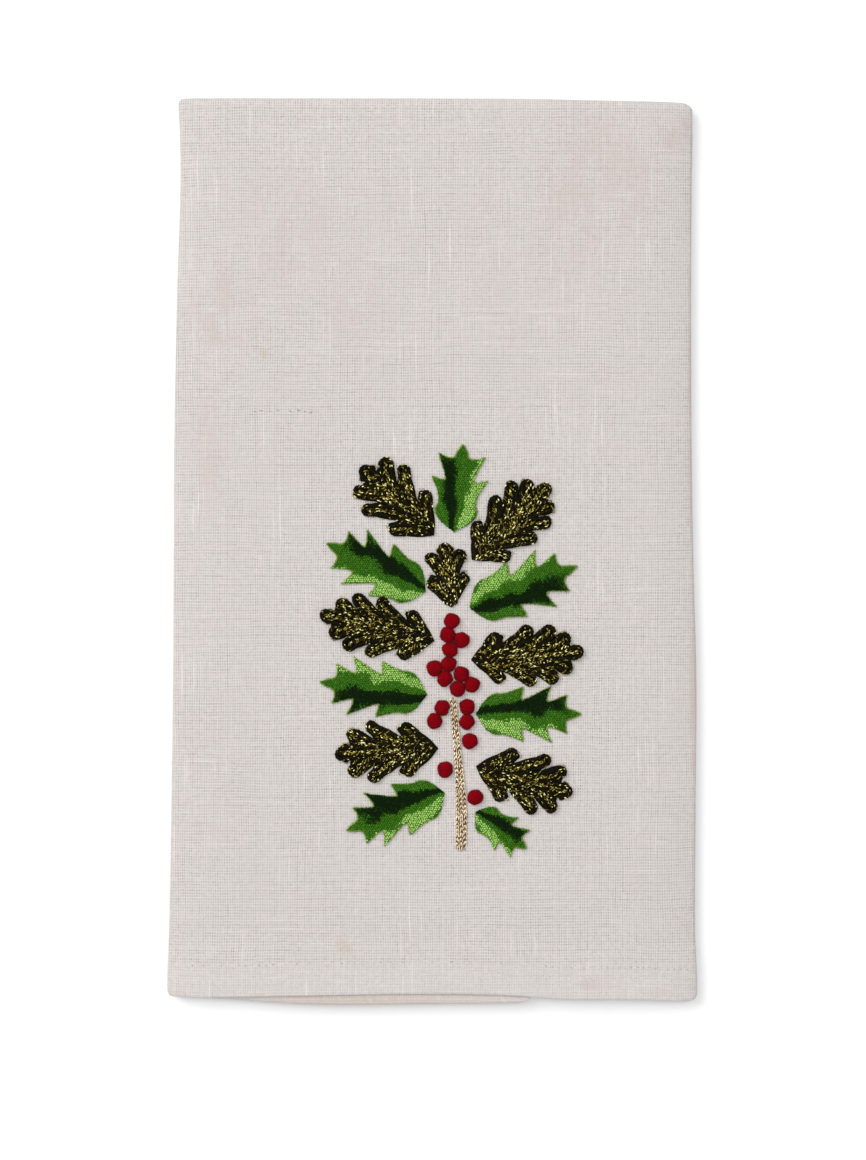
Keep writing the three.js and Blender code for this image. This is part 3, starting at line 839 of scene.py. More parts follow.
def cloth_finish(looks, sizes):
    """Slubbed plain weave, drawn on the flat cloth so that it follows the folds."""
    finish = Finish("slubbed_cloth", 0.93, Sheen_Weight=0.06, Sheen_Roughness=0.6, Specular_IOR_Level=0.15)
    flat = finish.place("flat_cloth")
    names = {"Vector": flat, "Scale": 0.03, "Detail": 2.0}
    drift = finish.value("TexNoise", names, "Color", noise_dimensions="2D")
    names = {0: drift, 1: (1.6, 1.6, 0.0), 2: flat}
    across, along = finish.parts(finish.value("VectorMath", names, operation="MULTIPLY_ADD"))[:2]
    x, y = finish.parts(flat)[:2]
    warp = yarn_set(finish, across, along, looks.warp_pitch / MM, 3.0)
    weft = yarn_set(finish, along, across, looks.weft_pitch / MM, 11.0)

    # Warp and weft pass over each other by turns
    warp_over = warp.wave.math("SIGN") * weft.wave
    weft_over = weft.wave.math("SIGN") * warp.wave
    warp_round = warp.wave.math("ABSOLUTE").math("POWER", 0.6)
    weft_round = weft.wave.math("ABSOLUTE").math("POWER", 1.4)
    warp_top = warp_round * warp_over.span(-1, 1, 0.0, 1.0, "LINEAR")
    weft_top = weft_round * weft_over.span(-1, 1, 1.0, 0.0, "LINEAR")
    height = warp_top.most(weft_top)

    # Painted shade in the pin gaps between the yarns and in the weave's low places, the gaps more open here
    # and there and closed up in the hems
    depth = sizes.hem_depth / MM
    cut_end = FRONT_HEM + sizes.cut_length / MM
    from_cut = (y - FRONT_HEM).math("MINIMUM", (y - cut_end) * -1)
    gap_shade = height.span(0.08, 0.66, 0.22, 0.0).most(warp_round.most(weft_round).span(0.3, 0.95, 1.0, 0.0))
    for share in (
        finish.spots((x, y, 5.0), 0.09, 3.0, 0.6).span(0.3, 0.7, 0.75, 1.0),
        finish.spots((x, y, 9.0), 0.55, 2.0, 0.6).span(0.34, 0.66, 0.4, 1.0),
        warp.own.span(0.36, 0.6, 0.7, 1.0),
        (warp.threes + weft.threes).span(-2, 2, 0.7, 1.3, "LINEAR"),
        from_cut.span(depth + 0.2, depth + 1.8, 0.55, 1.0),
    ):
        gap_shade = gap_shade * share

    # Shade of each yarn, its slubs and its thick and thin places
    own = warp.own + weft.own * 0.4
    shade = (own + (warp.thick + weft.thick) * 1.6).span(1.6, 3.0, 0.0, 1.0, "LINEAR")
    colour = finish.blend(shade, looks.cloth_shade, looks.cloth_colour)
    slub = warp.slub.most(weft.slub * 0.6)
    colour = finish.blend(slub * 0.5, colour, looks.slub_colour)
    colour = finish.blend(gap_shade, colour, looks.gap_shade_colour)

    # Blushes and stains, some of their rows painted shade
    mottle = finish.spots((x, y * 0.5, 2.0), 0.14, 3.0, 0.6).span(0.38, 0.58)
    colour = finish.blend(patches(x, y, BLUSHES_AND_SHADE) * mottle * 0.7, colour, looks.blush_and_shade_colour)
    finish.colour(finish.blend(patches(x, y, STAINS_AND_FLAP_SHADE), colour, looks.stain_and_shade_colour))
    finish.bump(height + slub * 0.5 + shade * 0.3, 0.16, 0.5)
    return finish.material


def speckled_finish(name, roughness, dark, light, scale, detail, spread, bump, **sockets):
    """Plain finish that wavers between two colours."""
    finish = Finish(name, roughness, **sockets)
    speck = finish.spots(finish.place(), scale, detail, spread)
    finish.colour(finish.blend(speck, dark, light))
    finish.bump(speck, bump)
    return finish.material


def sewing_finish(looks):
    """Sewing thread, and the painted shade of the needle's holes where the tone is low."""
    finish = Finish("hem_thread", 0.8, Sheen_Weight=0.1)
    speck = finish.spots(finish.place(), 2.2)
    thread = finish.blend(speck, looks.cloth_colour, looks.slub_colour)
    finish.colour(finish.blend(finish.tone()[0], looks.gap_shade_colour, thread))
    finish.bump(speck, 0.05)
    return finish.material


def cord_finish(looks):
    """Near-black olive cord with its fine fibres twisted round it."""
    finish = Finish("dark_cord", 0.65, Specular_IOR_Level=0.05)
    along, round_it = finish.parts(finish.place("strand"))[:2]
    twist = (round_it * (2 * pi * 6 * MM) + along * 9.0).math("SINE")
    uneven_tone = finish.spots(finish.place(), 0.9, 3.0, 0.7)
    gold = finish.tone()[0].span(0.0, 1.0, 0.04, 0.7)
    fibre = twist.span(0.2, 1.0) * uneven_tone.span(0.46, 0.62) * gold
    colour = finish.blend(uneven_tone, looks.cord_black, looks.cord_olive)
    finish.colour(finish.blend(fibre, colour, looks.cord_gold))
    finish.bump(twist, 0.06, 0.8)
    return finish.material


def gold_finish(name, dark, middle, bright, scale):
    """Flat, partly metallic thread, with painted highlights in short dashes where a finer noise or the
    tone's third channel is high.
    """
    finish = Finish(name, 0.34, Metallic=0.4, Specular_IOR_Level=0.7)
    place = finish.place()
    uneven_tone = finish.spots(place, scale, 3.0, 0.65).span(0.3, 0.62)
    painted_glint = finish.spots(place, scale * 2.2, 1.0).span(0.48, 0.62).most(finish.tone()[2])
    finish.colour(finish.blend(painted_glint, finish.blend(uneven_tone, dark, middle), bright))
    finish.bump(finish.spots(place, scale * 3.0), 0.05, 0.7)
    return finish.material


def chenille_finish(looks):
    """Looped pile in three greens, its pile fading to yellow-green at the rim; a low tone on the pad gives
    painted shade between the loops.
    """
    finish = Finish(
        "green_chenille", 0.95, Sheen_Weight=0.05, Sheen_Roughness=0.5, Specular_IOR_Level=0.05
    )
    shade, chance, rim = finish.tone()[:3]
    colour = finish.blend(shade.span(0.0, 0.5), looks.leaf_dark, looks.leaf_mid)
    colour = finish.blend(shade.span(0.5, 1.0), colour, looks.leaf_light)
    colour = finish.blend(rim, colour, looks.leaf_rim)
    speck = finish.spots(finish.place(), 1.4, 3.0, 0.7)
    # The tone's chance, low on the pad, darkens the colour there as painted shade
    bright = chance * 0.65 + speck * 0.45 + 0.17
    grey = finish.value("CombineColor", {0: bright, 1: bright, 2: bright})
    finish.colour(finish.blend(1.0, colour, grey, "MULTIPLY"))
    finish.bump(speck, 0.12, 0.5)
    return finish.material


def tuft_finish(looks):
    """Cut red pile, with painted shade down on the core between its tips, and painted highlights laid by
    noise.
    """
    finish = Finish("red_tuft", 0.95, Sheen_Weight=0.03, Sheen_Roughness=0.4, Specular_IOR_Level=0.05)
    depth, chance = finish.tone()[:2]
    speck = finish.spots(finish.place(), 1.6, 3.0, 0.7)
    # The core's lower tone gives painted shade between the tufts; the tufts' own tone differs at random
    colour = finish.blend(depth * 0.6 + chance * 0.4, looks.berry_dark_and_shade, looks.berry_red)
    # Painted highlights where the noise is high
    finish.colour(finish.blend(speck.span(0.5, 0.8, 0.0, 0.5), colour, looks.berry_painted_highlight))
    finish.bump(speck, 0.12, 0.5)
    return finish.material


# Operators, one for each piece or group of like pieces


class TOWEL_OT_cloth(bpy.types.Operator):
    """Folds the towel: sides behind the front panel, then in half"""

    bl_idname = "tea_towel.cloth"
    bl_label = "Fold the cloth"

    def execute(self, context):
        sizes, looks = context.scene.towel_sizes, context.scene.towel_looks
        stack = Stack(sizes)
        columns, lines = stack.cloth_columns(), stack.cloth_rows()
        flat = []

        def place(column, line, inner):
            spot, flat_spot = stack.fold(columns[column], lines[line], inner)
            flat.append(flat_spot)
            return spot

        bm = index_sheet(len(columns) - 1, len(lines) - 1, place)
        mesh = bpy.data.meshes.new("towel_cloth")
        bm.to_mesh(mesh)
        bm.free()
        corner_of = np.empty(len(mesh.loops), dtype=int)
        mesh.loops.foreach_get("vertex_index", corner_of)
        layer = mesh.uv_layers.new(name="flat_cloth")
        layer.data.foreach_set("uv", (np.array(flat)[corner_of] * MM).ravel())
        mesh.polygons.foreach_set("use_smooth", np.ones(len(mesh.polygons), dtype=bool))
        piece = finished("towel_cloth", mesh, [cloth_finish(looks, sizes)], "cloth", "towel")
        return {"FINISHED"}


class TOWEL_OT_hem(bpy.types.Operator):
    """Sews the row of stitches that holds each hem, and lays the stray fibres on the weave"""

    bl_idname = "tea_towel.hem"
    bl_label = "Sew the hems"

    def execute(self, context):
        sizes, looks = context.scene.towel_sizes, context.scene.towel_looks
        stack = Stack(sizes)
        draw = random.Random(5)
        pitch, thread = sizes.stitch_pitch / MM, sizes.stitch_thread / MM
        left, right = (read(SIDE_EDGES, "y", side, FRONT_HEM) for side in ("left", "right"))
        batch = Batch()

        def needle_hole_shade(x, y, tone):
            """Small flat spot of painted shade where the needle went in."""
            spot = (x, y, stack.front_face(x, y) + 0.02)
            batch.copy(grain(), spot, (0, 0, 1), (0.38, 0.32), 0.07, (tone, 0.5, 0))

        for half in ("front", "back"):
            x = left + STITCH_INSET
            while x < right - STITCH_INSET:
                if half == "front":
                    y = read(FRONT_HEM_LINE, "x", "y", x) + stack.hem_depth
                    z = stack.front_face(x, y) - thread * 0.1
                else:
                    y = stack.back_hem + stack.hem_depth
                    z = thread * 0.55
                y += draw.uniform(-0.25, 0.25)
                ahead = Vector((1, draw.uniform(-0.12, 0.12), 0))
                tone = (draw.uniform(0.8, 1), draw.random(), 0)
                batch.copy(grain(), (x, y, z), ahead, thread / 2, pitch * 0.34, tone)
                if half == "front":
                    needle_hole_shade(x + pitch / 2, y, draw.uniform(0.4, 0.95))
                    if x > SECOND_ROW_FROM:
                        near_y = y - SECOND_ROW_DROP + draw.uniform(-0.3, 0.3)
                        needle_hole_shade(x, near_y, draw.uniform(0.65, 1.0))
                x += pitch * draw.uniform(0.85, 1.15)
        finished("hem_stitches", batch.mesh("hem_stitches"), [sewing_finish(looks)], "cloth")

        batch = Batch()
        for row in FIBRES:
            turn = radians(row.turn)
            spot = (row.x, row.y, stack.front_face(row.x, row.y) + 0.03)
            ahead = (sin(turn), cos(turn), 0)
            batch.copy(grain(), spot, ahead, FIBRE_RADIUS, row.length / 2, (0, draw.random(), 0))
        finish = speckled_finish(
            "dark_fibre", 0.7, FIBRE_BLACK, looks.fibre_colour, scale=3.0, detail=2.0, spread=0.5, bump=0.03
        )
        finished("stray_fibres", batch.mesh("stray_fibres"), [finish], "cloth")
        return {"FINISHED"}


def drift(x, y, z):
    """Soft noise on three axes. The module's own vector noise comes out otherwise in every run."""
    return Vector([noise.noise(Vector((x, y, z + 10 * axis))) for axis in range(3)])


def bezier(corners, s):
    """Point of a curve with four corners, and the way it runs there."""
    a, b, c = (lerp(corners[i], corners[i + 1], s) for i in range(3))
    before, after = lerp(a, b, s), lerp(b, c, s)
    return lerp(before, after, s), (after - before) / np.linalg.norm(after - before)


def lobe_rows(row, radius, draw):
    """Cord rows of one dark leaf with their lift and their share of gold: each lobe is a dark strand out
    and back round its end with a brighter one between, and the lobe of the tip lies over the others."""
    waves, bunch = leaf_waves(row), LEAF_FORMS["lobed"].bunch
    length = row.length
    lobes = [(side, ((k + 0.6) / waves) ** (1 / bunch)) for k in range(row.lobes) for side in (-1, 1)]
    for order, (side, t) in enumerate([*lobes, (0, 1.0)]):
        wide = draw.uniform(1.8, 2.1)
        rib = np.array([0.0, length * min(t, 0.8)])
        root = np.array([side * 1.1, length * (max(t - 0.3, 0.06) if side else 0.03)])
        tip = np.array(leaf_local(row, side, 1.0, t))
        ahead = (tip - rib) / np.linalg.norm(tip - rib)
        end = tip - ahead * (wide + radius * 0.9)
        rising = root + [side * 0.6, 0.36 * np.linalg.norm(end - root)]
        coming = end - ahead * 0.7 * np.linalg.norm(end - rib)
        centres, asides = [], []
        for s in np.linspace(0, 1, LOBE_STEPS + 1):
            centre, along = bezier((root, rising, coming, end), s)
            centres.append(centre)
            asides.append(np.array([along[1], -along[0]]) * lerp(0.75, wide, eased((s - 0.08) / 0.45)))
        bends = [pi * i / 8 for i in range(1, 8)]
        cap = [end + asides[-1] * cos(b) + ahead * wide * sin(b) for b in bends]
        out = [c + a for c, a in zip(centres, asides)]
        back = [c - a for c, a in zip(centres, asides)]
        lift = 0.14 * (order // 2)
        yield lift, draw.uniform(0.05, 0.36), out + cap + back[::-1]
        yield lift + 0.1, draw.uniform(0.7, 1.0), [*centres[LOBE_BARE_STEPS:], end + ahead * wide * 0.5]


class TOWEL_OT_dark_leaves(bpy.types.Operator):
    """Works the lobed leaves in rows of dark cord with a gold thread wound round them"""

    bl_idname = "tea_towel.dark_leaves"
    bl_label = "Work the dark leaves"

    def execute(self, context):
        sizes, looks = context.scene.sprig_sizes, context.scene.sprig_looks
        stack = Stack(context.scene.towel_sizes)
        radius = sizes.cord_width / MM / 2
        finishes = [
            cord_finish(looks),
            # The gold thread's finish lays painted highlights on it, and the flecks' finish is wholly
            # painted glints
            gold_finish("cord_gold_thread", looks.cord_black, looks.cord_gold, looks.cord_painted_highlight, 1.3),
            gold_finish("cord_gold_glint", looks.cord_gold, looks.cord_painted_highlight, looks.cord_painted_glint, 1.3),
        ]
        for number, row in leaves("lobed"):
            draw = random.Random(100 + number)
            batch = Batch()
            # The near-black pad shows between the cord rows, as the cord's own dark and partly as painted
            # shade in the valleys between the rows
            batch.add_bmesh(leaf_pad(stack, row, 0.9, 1.4, 10, 10, reach=0.94), (0, 0.3, 0))
            for lift, gold, line in lobe_rows(row, radius, draw):
                path = []
                for x, y in (leaf_place(row, *point) for point in line):
                    sway = drift(x * 0.25, y * 0.25, number) * 0.6
                    x, y = x + sway.x, y + sway.y
                    path.append((x, y, stack.front_face(x, y) + 0.72 * radius + lift + 0.3 * sway.z))
                thick = radius * draw.uniform(0.92, 1.04)
                phase = draw.uniform(0, 2 * pi)
                tone = (gold, draw.random(), 0)
                strand(batch, path, thick, tone, ply_pitch=sizes.ply_pitch / MM, ply_depth=0.24, phase=phase)
                course = Course(path, lambda length: np.arange(0.2, length - 0.2, 0.3))
                self.wind_gold(batch, course, thick, gold, sizes, draw)
                self.scatter_flecks(batch, course, thick, gold, sizes, draw)
            self.fringe(batch, stack, row, draw)
            node = f"leaf_dark_{number}"
            finished(f"leaf_cord_{number}", batch.mesh(node), finishes, "dark_cord", node)
        return {"FINISHED"}

    def wind_gold(self, batch, course, radius, gold, sizes, draw):
        """Thin gold threads wound round a cord, sinking into it here and there."""
        for start in (0.0, pi):
            pitch = sizes.ply_pitch / MM * draw.uniform(1.2, 2.0)
            begin = start + draw.uniform(0, 1.5)
            sway = np.array([noise.noise(Vector((a * 0.6, begin, 3.0))) for a in course.at])
            sink = np.array([noise.noise(Vector((a * 0.4, begin, 8.0))) for a in course.at])
            bearing = 2 * pi * course.at / pitch + begin + 1.6 * sway
            wound = course.round(bearing, radius * (0.56 + 0.36 * gold + 0.5 * sink))
            strand(batch, wound, sizes.gold_thread / MM / 2, (1, draw.random(), 0), 1, sides=3)

    def scatter_flecks(self, batch, course, radius, gold, sizes, draw):
        """Short dashes of the gold thread on the upper side of a cord, made bright with painted glints."""
        for _ in range(int(course.at[-1] * sizes.fleck_density / 1000 * (0.1 + 0.9 * gold))):
            i = draw.randrange(len(course.at))
            spot = course.round(pi / 2 + draw.uniform(-1.1, 1.1), radius * 0.94, [i])[0]
            ahead = course.ahead[i] + course.aside[i] * draw.uniform(-0.55, 0.55)
            # A fifth of the flecks are larger and take the full painted glint through the tone's third
            # channel
            lit = draw.random() < 0.2
            wide = draw.uniform(0.2, 0.29) if lit else draw.uniform(0.1, 0.2)
            long = draw.uniform(0.45, 0.8) if lit else draw.uniform(0.25, 0.6)
            batch.copy(loop(), spot, ahead, wide, long, (1, draw.random(), lit), 2)

    def fringe(self, batch, stack, row, draw):
        """Thin gold ends that stick out round the leaf."""
        for rim, out in rim_spots(row, FRINGE_ENDS, 0.03, 0.99, 0.85, 0.05, draw):
            x, y = rim - out * 0.5
            ahead = out.to_3d() + tilt(draw, 0.6, 0.1)
            z = stack.front_face(x, y) + draw.uniform(0.15, 0.6)
            tone = (1, draw.random(), 0)
            length = draw.uniform(0.5, 1.1)
            # Half of the ends take the finish of painted glints
            batch.copy(hair(), (x, y, z), ahead, 0.1, length, tone, draw.choice((1, 2)))


def zone_shade(row, x, y, draw):
    """Tone of the pile at a point of a green leaf, from 0 for dark to 1 for light."""
    own_x, own_y = leaf_own(row, x, y)
    bearing = atan2(own_x * row.lit, own_y - FAN_FOOT * row.length) / FAN_SPREAD
    patchy = noise.noise(Vector((x * 0.16, y * 0.16, row.length)))
    shade = read(ZONES, "across", "shade", bearing + 0.22 * patchy + draw.uniform(-0.05, 0.05))
    thread = lerp(0.02 if shade < 0.26 else 0.5 if shade < 0.76 else 0.96, shade, 0.65)
    tip = eased((own_y / row.length - 0.72) / 0.25)
    return clamp(lerp(thread, max(thread, 0.5), tip) + draw.uniform(-0.1, 0.1))


class TOWEL_OT_green_leaves(bpy.types.Operator):
    """Works the toothed leaves in small chenille loops with a fuzzy rim"""

    bl_idname = "tea_towel.green_leaves"
    bl_label = "Work the green leaves"

    def execute(self, context):
        sizes = context.scene.sprig_sizes
        stack = Stack(context.scene.towel_sizes)
        finishes = [chenille_finish(context.scene.sprig_looks)]
        for number, row in leaves("toothed"):
            draw = random.Random(200 + number)
            batch = Batch()
            bm = leaf_pad(stack, row, sizes.pad_height / MM, 1.7, 20, 16)
            surface = BVHTree.FromBMesh(bm)
            spots = [vertex.co / MM for vertex in bm.verts]
            # The pad takes a darker zone tone and a low chance: painted shade between the loops
            batch.add_bmesh(bm, [(zone_shade(row, p.x, p.y, draw) * 0.6, 0.3, 0) for p in spots])
            xs, ys = [p.x for p in spots], [p.y for p in spots]
            box = min(xs), max(xs), min(ys), max(ys)
            self.lay_loops(batch, surface, row, box, sizes.loop_pitch / MM, draw)
            self.lay_pile(batch, surface, row, box, sizes.pile_density, draw)
            self.lay_rim(batch, stack, row, sizes.rim_density, draw)
            node = f"leaf_green_{number}"
            finished(f"leaf_chenille_{number}", batch.mesh(node), finishes, "green_chenille", node)
        return {"FINISHED"}

    def over(self, surface, x, y):
        """Spot and facing of the pad straight below a place, in millimetres."""
        spot, facing, _, _ = surface.ray_cast(Vector((x * MM, y * MM, 0.1)), Vector((0, 0, -1)))
        return (None, None) if spot is None else (spot / MM, facing)

    def lay_loops(self, batch, surface, row, box, pitch, draw):
        """Small loops in offset rows over the pad."""
        left, right, y, high = box
        line = 0
        while y < high:
            x = left + (line % 2) * pitch / 2
            while x < right:
                near_x, near_y = x + draw.uniform(-0.14, 0.14), y + draw.uniform(-0.14, 0.14)
                spot, facing = self.over(surface, near_x, near_y)
                if spot:
                    shade = zone_shade(row, near_x, near_y, draw)
                    lean = facing + tilt(draw, 0.3)
                    across = pitch * draw.uniform(0.41, 0.5)
                    length = pitch * draw.uniform(0.42, 0.56)
                    batch.copy(loop(), spot, lean, across, length, (shade, draw.uniform(0.6, 1.0), 0))
                x += pitch
            y += pitch * 0.87
            line += 1

    def lay_pile(self, batch, surface, row, box, density, draw):
        """Short fibres that stand up between the loops."""
        left, right, low, high = box
        for _ in range(int((right - left) * (high - low) * density)):
            x, y = draw.uniform(left, right), draw.uniform(low, high)
            spot, facing = self.over(surface, x, y)
            if spot:
                lean = facing + tilt(draw, 0.6)
                tone = (zone_shade(row, x, y, draw), draw.uniform(0.5, 1.0), 0)
                batch.copy(hair(), spot, lean, 0.09, draw.uniform(0.4, 0.65), tone)

    def lay_rim(self, batch, stack, row, density, draw):
        """Yellow-green fuzz that leans out round the edge."""
        for rim, out in rim_spots(row, int(row.length * density), 0.01, 0.995, 0.8, 0.02, draw):
            x, y = rim - out * draw.uniform(0.1, 0.6)
            sway = Vector((draw.uniform(-0.7, 0.7), draw.uniform(-0.7, 0.7), draw.uniform(0, 0.6)))
            z = stack.front_face(x, y) + draw.uniform(0.1, 0.8)
            tone = (0.6, draw.uniform(0.6, 1.0), draw.uniform(0.3, 1.0))
            batch.copy(hair(), (x, y, z), out.to_3d() + sway, 0.1, draw.uniform(0.6, 1.2), tone)


class TOWEL_OT_berries(bpy.types.Operator):
    """Works the berries as domes of cut red pile"""

    bl_idname = "tea_towel.berries"
    bl_label = "Work the berries"

    def execute(self, context):
        sizes = context.scene.sprig_sizes
        stack = Stack(context.scene.towel_sizes)
        finishes = [tuft_finish(context.scene.sprig_looks)]
        number = 0
        for bunch in BERRY_BUNCHES:
            count = bunch.count
            reach = 0 if count == 1 else BERRY_PITCH / 2 / sin(pi / count)
            for i in range(count):
                number += 1
                bearing = radians(bunch.turn + 360 * i / count)
                x = bunch.x + reach * cos(bearing)
                y = bunch.y + reach * sin(bearing)
                batch = self.berry(stack, x, y, sizes, random.Random(300 + number))
                node = f"berry_{number:02d}"
                finished(f"berry_pile_{number:02d}", batch.mesh(node), finishes, "red_tuft", node)
        return {"FINISHED"}

    def berry(self, stack, x, y, sizes, draw):
        """One dome of pile on a unit ball that is cut off low down, a little out of round."""
        radius, height = sizes.berry_radius / MM, sizes.berry_height / MM
        seat = stack.front_face(x, y)
        squeeze = draw.uniform(0.9, 1.1)
        slant = draw.uniform(0, pi)
        bm = bmesh.new()
        bmesh.ops.create_uvsphere(bm, u_segments=18, v_segments=12, radius=1)
        cut = bmesh.ops.bisect_plane(
            bm, geom=bm.verts[:] + bm.edges[:] + bm.faces[:], plane_co=(0, 0, -BERRY_CUT),
            plane_no=(0, 0, -1), clear_outer=True,
        )
        rim = [e for e in cut["geom_cut"] if isinstance(e, bmesh.types.BMEdge)]
        bmesh.ops.contextual_create(bm, geom=rim)
        shape = Matrix.Rotation(slant, 4, "Z") @ Matrix.Diagonal((squeeze, 1 / squeeze, 1, 1))
        bmesh.ops.transform(bm, matrix=shape, verts=bm.verts[:])

        def place(out, share, least):
            """Place of a point of the unit ball, on a share of the whole dome."""
            rise = max((out.z + BERRY_CUT) / (1 + BERRY_CUT), least) * height
            out = out * self.dent(out, x, y) * radius
            return Vector((x + out.x * share, y + out.y * share, seat + rise * share))

        for vertex in bm.verts:
            vertex.co = (place(vertex.co, BERRY_CORE, 0) + Vector((0, 0, 0.04))) * MM
        batch = Batch()
        # The core's tone is lower than most tufts': painted shade between them
        batch.add_bmesh(bm, (0.5, 0.4, 0))
        root = BERRY_CORE * 0.92
        for i in range(int(sizes.berry_tufts)):
            up = 1 - 1.3 * (i + 0.5) / sizes.berry_tufts
            flat = sqrt(max(1 - up * up, 0))
            turn = GOLDEN_TURN * i + slant
            out = Vector((flat * cos(turn), flat * sin(turn), up))
            spot = place(out, root, 0.02) + Vector((0, 0, 0.06))
            out *= self.dent(out, x, y)
            lean = out + Vector([draw.uniform(-0.4, 0.4) for _ in range(3)])
            lean.z = max(lean.z, 0.05)
            length = radius * (1 - root) * draw.uniform(0.75, 1.3)
            batch.copy(hair(), spot, lean, 0.17, length, (draw.uniform(0.5, 1.0), draw.random(), 0))
        return batch

    def dent(self, out, x, y):
        """How far a berry swells or sinks towards one side."""
        return 1 + 0.17 * noise.noise(Vector((out.x * 1.3 + x, out.y * 1.3 + y, 2.0)))


class TOWEL_OT_stem(bpy.types.Operator):
    """Works the stem in rows of pale gold chain stitch"""

    bl_idname = "tea_towel.stem"
    bl_label = "Work the stem"

    def execute(self, context):
        sizes, looks = context.scene.sprig_sizes, context.scene.sprig_looks
        stack = Stack(context.scene.towel_sizes)
        draw = random.Random(7)
        batch = Batch()
        pitch = sizes.chain_pitch / MM
        foot, head = STEM_LINE[0].y, STEM_LINE[-1].y
        for chain in (-1, 0, 1):
            y = foot + 0.7 + draw.uniform(0, 0.4) + abs(chain) * 0.5
            while y < head - 0.2:
                width = self.width(y)
                three = eased((width - THREE_CHAINS_FROM) / 0.5)
                chain_width = width / lerp(2, 3, three)
                if chain or three > 0.5:
                    x = read(STEM_LINE, "y", "x", y) + chain * chain_width * lerp(0.5, 1, three)
                    self.link(batch, stack, x + draw.uniform(-0.14, 0.14), y, chain_width, pitch, draw)
                y += pitch * draw.uniform(0.8, 1.15)
        self.ground(batch, stack)
        finishes = [
            # Pale gold chain with painted glints
            gold_finish("pale_gold_thread", looks.stem_dark, looks.stem_gold, looks.stem_painted_glint, 1.1),
            speckled_finish(
                "stem_ground", 0.8, looks.stem_shade, looks.stem_dark, scale=2.0, detail=3.0, spread=0.6,
                bump=0.08, Specular_IOR_Level=0.1,
            ),
        ]
        finished("stem_chain", batch.mesh("stem"), finishes, "pale_gold_thread", "stem")
        return {"FINISHED"}

    def width(self, y):
        """Width of the stem, which narrows at its foot."""
        near = clamp((y - STEM_LINE[0].y) / FOOT_TAPER)
        return read(STEM_LINE, "y", "width", y) * lerp(0.5, 1, sin(near * pi / 2))

    def link(self, batch, stack, x, y, width, pitch, draw):
        """One chain stitch: its two sides open towards the foot."""
        for side in (-1, 1):
            spot_x = x + side * width * 0.25
            z = stack.front_face(spot_x, y) + 0.6 + draw.uniform(-0.14, 0.14)
            ahead = Vector((-side * draw.uniform(0.08, 0.46), 1, draw.uniform(-0.2, 0.28)))
            across = width * draw.uniform(0.15, 0.22)
            length = pitch * draw.uniform(0.5, 0.68)
            batch.copy(grain(), (spot_x, y, z), ahead, (across, 0.4), length, (1, draw.random(), 0))

    def ground(self, batch, stack):
        """Low padding under the chains, its brown a painted shade in the gaps between the links."""
        lines, columns = 40, 6
        foot, head = STEM_LINE[0].y, STEM_LINE[-1].y

        def place(column, line, inner):
            t = line / lines
            y = lerp(foot + 0.4, head, t)
            taper = lerp(0.5, 1, sin(clamp(t * (head - foot) / FOOT_TAPER) * pi / 2))
            width = read(STEM_LINE, "y", "width", y) * 0.86 * taper
            near = min(t, 1 - t) * (head - foot)
            width *= sqrt(1 - (1 - clamp(near / (width / 2))) ** 2 * 0.95)
            share = 2 * column / columns - 1
            x = read(STEM_LINE, "y", "x", y) + share * width / 2
            rise = 0.04 if inner else 0.1 + 0.45 * sqrt(1 - share * share * 0.9)
            return x, y, stack.front_face(x, y) + rise

        batch.add_bmesh(index_sheet(columns, lines, place), (0, 0.2, 0), 1)


class TOWEL_OT_stage(bpy.types.Operator):
    """Sets the floor, the soft lights and the camera straight above"""

    bl_idname = "tea_towel.stage"
    bl_label = "Set the stage"

    def execute(self, context):
        stage = context.scene.towel_stage
        bm = bmesh.new()
        drop = Matrix.Translation((0, 0, -FLOOR_DROP))
        bmesh.ops.create_grid(bm, x_segments=2, y_segments=2, size=stage.floor_size / 2, matrix=drop)
        mesh = bpy.data.meshes.new("floor")
        bm.to_mesh(mesh)
        bm.free()
        finish = Finish("pale_floor", 0.9, Specular_IOR_Level=0.0)
        finish.colour(linear(stage.floor_colour))
        mesh.materials.append(finish.material)
        self.placed(context, "floor", mesh)

        world = bpy.data.worlds.new("soft_room")
        world.use_nodes = True
        background = world.node_tree.nodes["Background"]
        background.inputs["Color"].default_value = (1.0, 1.0, 1.0, 1.0)
        background.inputs["Strength"].default_value = stage.room_light
        context.scene.world = world
        for name, spot, size, power in (
            ("key", (-2.3, 1.7, 2.9), 3.0, stage.key_light),
            ("top", (0.3, 0.2, 4.0), 2.4, stage.top_light),
        ):
            data = bpy.data.lights.new(name, "AREA")
            data.shape = "DISK"
            data.size = size
            data.energy = power
            lamp = self.placed(context, name, data)
            lamp.location = spot
            lamp.rotation_euler = (-Vector(spot)).to_track_quat("-Z", "Y").to_euler()

        # Straight above, the photograph's frame measured at the face of the towel
        data = bpy.data.cameras.new("camera")
        data.lens = stage.lens
        data.sensor_width = SENSOR
        data.dof.use_dof = False
        data.clip_end = 20
        camera = self.placed(context, "camera", data)
        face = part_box("towel")[1][2]
        camera.location = (*stage.frame_centre, face + stage.frame_height * stage.lens / SENSOR)
        context.scene.camera = camera
        context.scene.view_settings.view_transform = "Standard"
        context.scene.view_settings.look = "None"
        return {"FINISHED"}

    def placed(self, context, name, data):
        thing = bpy.data.objects.new(name, data)
        context.scene.collection.objects.link(thing)
        return thing


# Sizes and colours in the sidebar


def size(name, description, default):
    return FloatProperty(name=name, description=description, default=default, unit="LENGTH", precision=5)


def amount(name, description, default, low=0, **more):
    return FloatProperty(name=name, description=description, default=default, min=low, **more)


